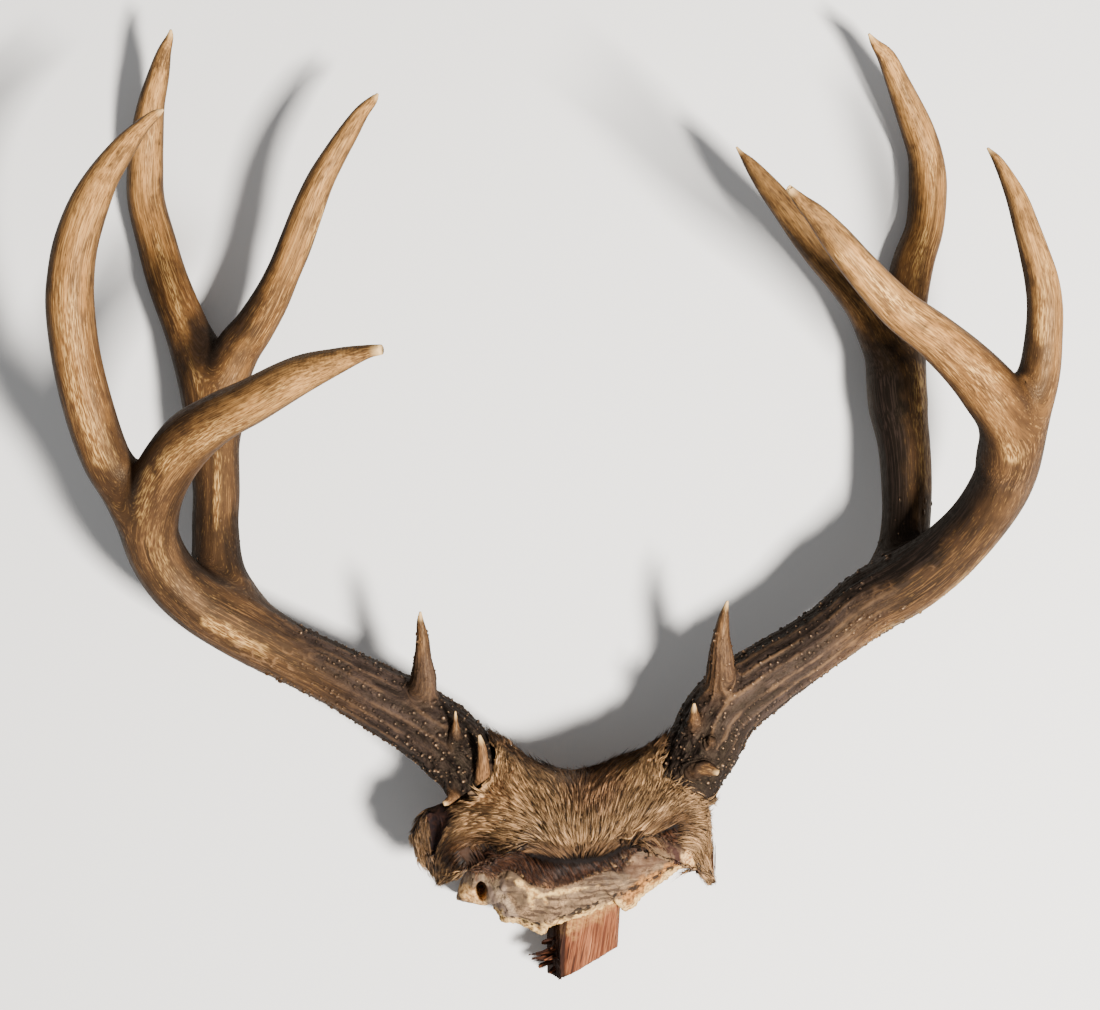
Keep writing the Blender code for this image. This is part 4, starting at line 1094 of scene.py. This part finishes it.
roots, root_normals = scatter(HAIRS)
shuffled = rng.permutation(len(roots))[:HAIRS]
roots, root_normals = roots[shuffled], root_normals[shuffled]
lock_tree = KDTree(len(lock_roots))
for number, place in enumerate(lock_roots):
    lock_tree.insert(place, number)
lock_tree.balance()
lock = np.array([lock_tree.find(place)[1] for place in roots])
share = rng.uniform(*HAIR_SHARE, len(roots))
away = roots - lock_roots[lock]
hair_path = []
for step in range(HAIR_STEPS + 1):
    reach = np.clip(share * step, 0, HAIR_STEPS)
    low = np.minimum(reach.astype(int), HAIR_STEPS - 1)
    part = (reach - low)[:, None]
    along_lock = lock_path[low, lock] * (1 - part) + lock_path[low + 1, lock] * part
    pull = LOCK_PULL * step / HAIR_STEPS
    stray = rng.normal(0, HAIR_STRAY * step, (len(roots), 3))
    hair_path.append(along_lock + away * (1 - pull) + stray)
hair_path = np.array(hair_path)
hair_path[0] = roots - root_normals * ROOT_DEPTH * MM
taken = 0
for *ends, count in TUFTS:
    first, last = np.array(ends[:3]) * MM, np.array(ends[3:]) * MM
    spread = rng.normal(0, 1, (count, 3)) * np.array(TUFT_SPREAD) * MM
    part = slice(taken, taken + count)
    for step, pull in enumerate(TUFT_TAPER):
        hair_path[step, part] = first + (last - first) * step / HAIR_STEPS + spread * pull
    hair_path[1:, part, 2] += TUFT_LIFT
    taken += count
roots = hair_path[0]
# Locks that lie lower are painted darker, as shade under the ones on top; the rest of the tone is random.
hair_tone = (0.1 + 0.36 * lock_height + rng.normal(0, 0.2, len(lock_roots)))[lock]
hair_tone += rng.normal(0, 0.14, len(roots))
hair_tone += 0.16 * mottle(roots, 11, 52)
hair_tone += 0.28 * (1 - ease(0.4, 1.0, off_spot(roots, GOLD_PATCH) / GOLD_PATCH_RADIUS))
hair_tone = np.clip(hair_tone, 0, 1)
hair_red = 0.55 * (1 - ease(0.4, 1.3, off_spot(roots, RED_PATCH) / RED_PATCH_RADIUS))
fringe = lock_below[lock]
hair_red = np.maximum(hair_red, 0.8 * fringe)
hair_tone = np.clip(hair_tone - 0.14 * fringe + rng.normal(0, 0.2, len(roots)) * fringe, 0, 1)
tuft_hairs = np.arange(len(roots)) < TUFTS[0][-1]
hair_red = np.where(tuft_hairs, 0.9, hair_red)
hair_tone = np.where(tuft_hairs, 0.6 * hair_tone, hair_tone)
# Painted shade on the hair: along the top edge, at the crease and in the fringe under it, in the fold and
# round the ear's hollow.
hair_dark = np.max([
    1 - ease(2, 9, off_line(roots, TOP_EDGE)), 1 - ease(3, 8, off_line(roots, CREASE)),
    1.4 * (1 - ease(5, 12, off_line(roots, DARK_FOLD))),
    1.4 * fringe * (1 - ease(4, 13, off_line(roots, CREASE))), 0.8 * ease(-9, -2, deep_in(roots, HOLLOW)),
], axis=0)


def hair_mesh(name, path, notes):
    """Three-sided hairs as one mesh: a ring at each step but the last, and a point at the tip."""
    steps, count, _ = path.shape
    ways = unit(np.gradient(path, axis=0).reshape(-1, 3)).reshape(path.shape)
    side = unit(np.cross(ways.reshape(-1, 3), (0.03, 0.02, 1.0))).reshape(path.shape)
    lift = np.cross(side, ways)
    rows = []
    for step in range(steps - 1):
        radius = HAIR_RADIUS * HAIR_TAPER[step]
        for corner in range(3):
            angle = math.tau * corner / 3
            rows.append(path[step] + radius * (side[step] * math.cos(angle) + lift[step] * math.sin(angle)))
    rows.append(path[-1])
    points = np.array(rows).transpose(1, 0, 2).reshape(-1, 3)
    size = len(rows)
    faces = [(0, 2, 1)]
    for ring in range(steps - 2):
        for corner in range(3):
            a, b = 3 * ring + corner, 3 * ring + (corner + 1) % 3
            faces += [(a, b, b + 3), (a, b + 3, a + 3)]
    last = 3 * (steps - 2)
    faces += [(last + corner, last + (corner + 1) % 3, size - 1) for corner in range(3)]
    corners = (np.array(faces)[None] + size * np.arange(count)[:, None, None]).ravel()
    mesh = bpy.data.meshes.new(name)
    mesh.vertices.add(len(points))
    mesh.vertices.foreach_set("co", points.ravel())
    mesh.loops.add(len(corners))
    mesh.loops.foreach_set("vertex_index", corners)
    mesh.polygons.add(len(corners) // 3)
    mesh.polygons.foreach_set("loop_start", np.arange(0, len(corners), 3))
    mesh.update(calc_edges=True)
    mesh.validate()
    notes = {key: np.repeat(values, size) for key, values in notes.items()}
    along = np.repeat(np.arange(steps) / (steps - 1), 3)[:size]
    note(mesh, **notes, along=np.tile(along, count))
    made = bpy.data.objects.new(name, mesh)
    bpy.context.collection.objects.link(made)
    return made


hair_finish, tree, skin = new_finish("deer hair")
along, tone, red, dark = noted(tree, "along", "tone", "red", "dark")
tip = mix(tree, tone, (34, 24, 18), (248, 196, 138))
tip = mix(tree, times(tree, red, 0.75), tip, mix(tree, tone, (50, 31, 25), (216, 150, 114)))
# Painted shade, as much as dark says.
tip = mix(tree, times(tree, dark, 0.8), tip, (122, 108, 103), "MULTIPLY")
root = mix(tree, tone, (26, 18, 13), (64, 44, 31))
feed(tree, skin, {
    "Base Color": mix(tree, (along, 0.0, 0.45), root, tip), "Roughness": 0.45, "Specular IOR Level": 0.28,
})
for number, start in enumerate(range(0, len(roots), HAIRS_IN_A_PIECE)):
    part = slice(start, start + HAIRS_IN_A_PIECE)
    notes = {"tone": hair_tone[part], "red": hair_red[part], "dark": hair_dark[part]}
    hair = hair_mesh(f"hair_{number + 1}", hair_path[:, part], notes)
    dress(hair_finish, hair)
    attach(hair, "root")


# ---------------------------------------------------------------- the wooden block
# The broken end of a reddish softwood block that the plate was once screwed to. It is sawn at the
# front, split along its grain, and broken off dark and splintered on the left.

BLOCK_VOXEL = 0.6 * MM
GRAIN_WAY = (0.16, 1.0, 0.0)  # the way of the grain on the block's front
BROKEN_END, BROKEN_SPAN = 5, 6  # x of the broken end, and how far the dark of it reaches in
GLUE_LINE = [(4, -233), (12, -230.5), (22, -227), (34, -218.5)]
# Splinters at its broken end: x, y, z of the root and of the tip, and how thick, in millimetres.
SPLINTERS = [
    (3, -248, 27, -9, -251, 27, 2.4), (4, -252, 24, -12, -254, 24, 2.0), (3, -255, 20, -8, -259, 18, 2.2),
    (3, -244, 31, -1, -247, 32, 1.8), (4, -258, 26, -2, -261, 28, 1.8), (3, -251, 30, -5, -253, 34, 1.4),
    (4, -246, 20, -6, -246, 17, 1.6),
]

wood_block = copied("wood_block", "broken_wood_block", BLOCK_VOXEL)
places = places_of(wood_block.data)
grain_way = np.array(GRAIN_WAY) / np.linalg.norm(GRAIN_WAY)
across = places[:, 0] - places[:, 1] * GRAIN_WAY[0]
grain = np.column_stack([across, places[:, 2], places @ grain_way])
ribs = mottle(grain, (1.3, 1.6, 30), 61)
fibres = mottle(grain, (0.7, 0.8, 9), 62)
waves = mottle(grain, (6, 6, 40), 63)
ragged = places[:, 0] + MM * (2.4 * ribs + fibres)
broken = 1 - ease(BROKEN_END * MM, (BROKEN_END + BROKEN_SPAN) * MM, ragged)
height = 0.22 * ribs + 0.12 * fibres + 0.3 * waves
height = height - broken * (0.8 + 1.5 * ribs + 0.9 * fibres) * ease(-2, 3, places[:, 0] / MM)
place_at(wood_block.data, places + normals_of(wood_block.data) * (MM * height)[:, None])
glue = 1 - ease(2, 8.5, off_line(places, GLUE_LINE) + 4.5 * mottle(places, 4, 64))
note(wood_block.data, grain=grain, broken=broken, glue=glue)
bpy.ops.object.shade_smooth()
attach(wood_block, "root")
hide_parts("wood_block")

bpy.ops.object.select_all(action="DESELECT")
slivers = []
for number, (*ends, thick) in enumerate(SPLINTERS):
    root, tip = Vector(ends[:3]) * MM, Vector(ends[3:]) * MM
    bpy.ops.mesh.primitive_cone_add(
        vertices=7, radius1=thick * MM, radius2=0.5 * thick * MM, depth=(tip - root).length,
        location=(root + tip) / 2, rotation=(tip - root).to_track_quat("Z", "Y").to_euler())
    made = bpy.context.object
    made.data.name = "sliver"
    bpy.ops.object.mode_set(mode="EDIT")
    bpy.ops.mesh.select_all(action="SELECT")
    bpy.ops.mesh.subdivide(number_cuts=5)
    bpy.ops.object.mode_set(mode="OBJECT")
    local = places_of(made.data)
    ragged = mottle(local, (0.9, 0.9, 5), 65 + number)
    place_at(made.data, local * (1 + np.outer(ragged, (0.8, 0.5, 0.12))) * (1.0, 0.6, 1.0))
    torn = np.clip(0.7 + 0.6 * mottle(local, (0.9, 0.9, 4), 75 + number), 0, 1)
    note(made.data, grain=local, broken=torn)
    slivers.append(made)
for made in slivers:
    made.select_set(True)
bpy.context.view_layer.objects.active = slivers[0]
bpy.ops.object.join()
splinters = bpy.context.object
splinters.name = splinters.data.name = "splinters"
bpy.ops.object.transform_apply(location=True, rotation=True, scale=True)
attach(splinters, "root")

wood_finish, tree, skin = new_finish("red softwood")
object_place = add(tree, "TexCoord").outputs["Object"]
grain = add(tree, "Attribute", attribute_name="grain").outputs["Vector"]
broken, glue = noted(tree, "broken", "glue")
rings = streaks(tree, grain, 1.3, 40)
splits = streaks(tree, grain, 2.6, 22, 1.0)
pores = streaks(tree, grain, 0.45, 9)
colour = coats(
    tree, mix(tree, (rings, 0.38, 0.62), (144, 88, 56), (96, 53, 35)),
    ((pores, 0.52, 0.7, 0.0, 0.75), (58, 31, 22)),
    ((pores, 0.25, 0.4, 0.7, 0.0), (192, 132, 92)),
    ((splits, 0.62, 0.7, 0.0, 0.8), (44, 23, 16)),
    (times(tree, glue, (clouds(tree, object_place, 2), 0.36, 0.62, 0.95, 0.25)), (172, 128, 76)),
    ((broken, 0.2, 0.8, 0.0, 0.9), (24, 12, 9)),
)
feed(tree, skin, {
    "Base Color": colour, "Roughness": (rings, 0.3, 0.7, 0.7, 0.9), "Specular IOR Level": 0.15,
    "Normal": bumps(tree, pores, 0.6, 0.4),
})
dress(wood_finish, wood_block, splinters)


# ---------------------------------------------------------------- the studio
# A plain pale floor that the rack lies on, which throws little light back on to it, one soft key light
# from the lower right and a pale room all round. The camera looks straight down on the rack's front.

WARM = (1.0, 0.95, 0.88)
FLOOR_LIT, FLOOR_SHOWN = (0.4, 0.4, 0.4, 1), (0.92, 0.92, 0.92, 1)  # to the rack, and to the camera
EYE_HEIGHT, EYE_X, EYE_Y = 1.5, -0.0015, 0.002
LENS = 85.7
FLOOR_SIZE, FLOOR_DROP = 6, 0.0006  # the floor lies just under the rack

bpy.ops.mesh.primitive_grid_add(
    x_subdivisions=2, y_subdivisions=2, size=FLOOR_SIZE, location=(0, 0, -FLOOR_DROP))
floor = bpy.context.object
floor.name = "floor"
paper, tree, skin = new_finish("pale floor")
seen = add(tree, "LightPath").outputs["Is Camera Ray"]
feed(tree, skin, {"Base Color": mix(tree, seen, FLOOR_LIT, FLOOR_SHOWN), "Roughness": 0.9})
dress(paper, floor)

room = bpy.data.worlds.new("pale room")
room.use_nodes = True
feed(room.node_tree, room.node_tree.nodes["Background"], {"Color": (1, 1, 1, 1), "Strength": 0.3})
bpy.context.scene.world = room


def soft_light(name, place, size, watts):
    """A square light that faces the rack."""
    bpy.ops.object.light_add(type="AREA", location=place)
    made = bpy.context.object
    made.name = name
    made.data.size = size
    made.data.energy = watts
    made.data.color = WARM
    made.rotation_euler = (-Vector(place)).to_track_quat("-Z", "Y").to_euler()


soft_light("key", place=(0.95, -0.65, 1.9), size=0.35, watts=170)

bpy.ops.object.camera_add(location=(EYE_X, EYE_Y, EYE_HEIGHT))
camera = bpy.context.object
camera.data.lens = LENS
camera.data.clip_end = 20
bpy.context.scene.camera = camera
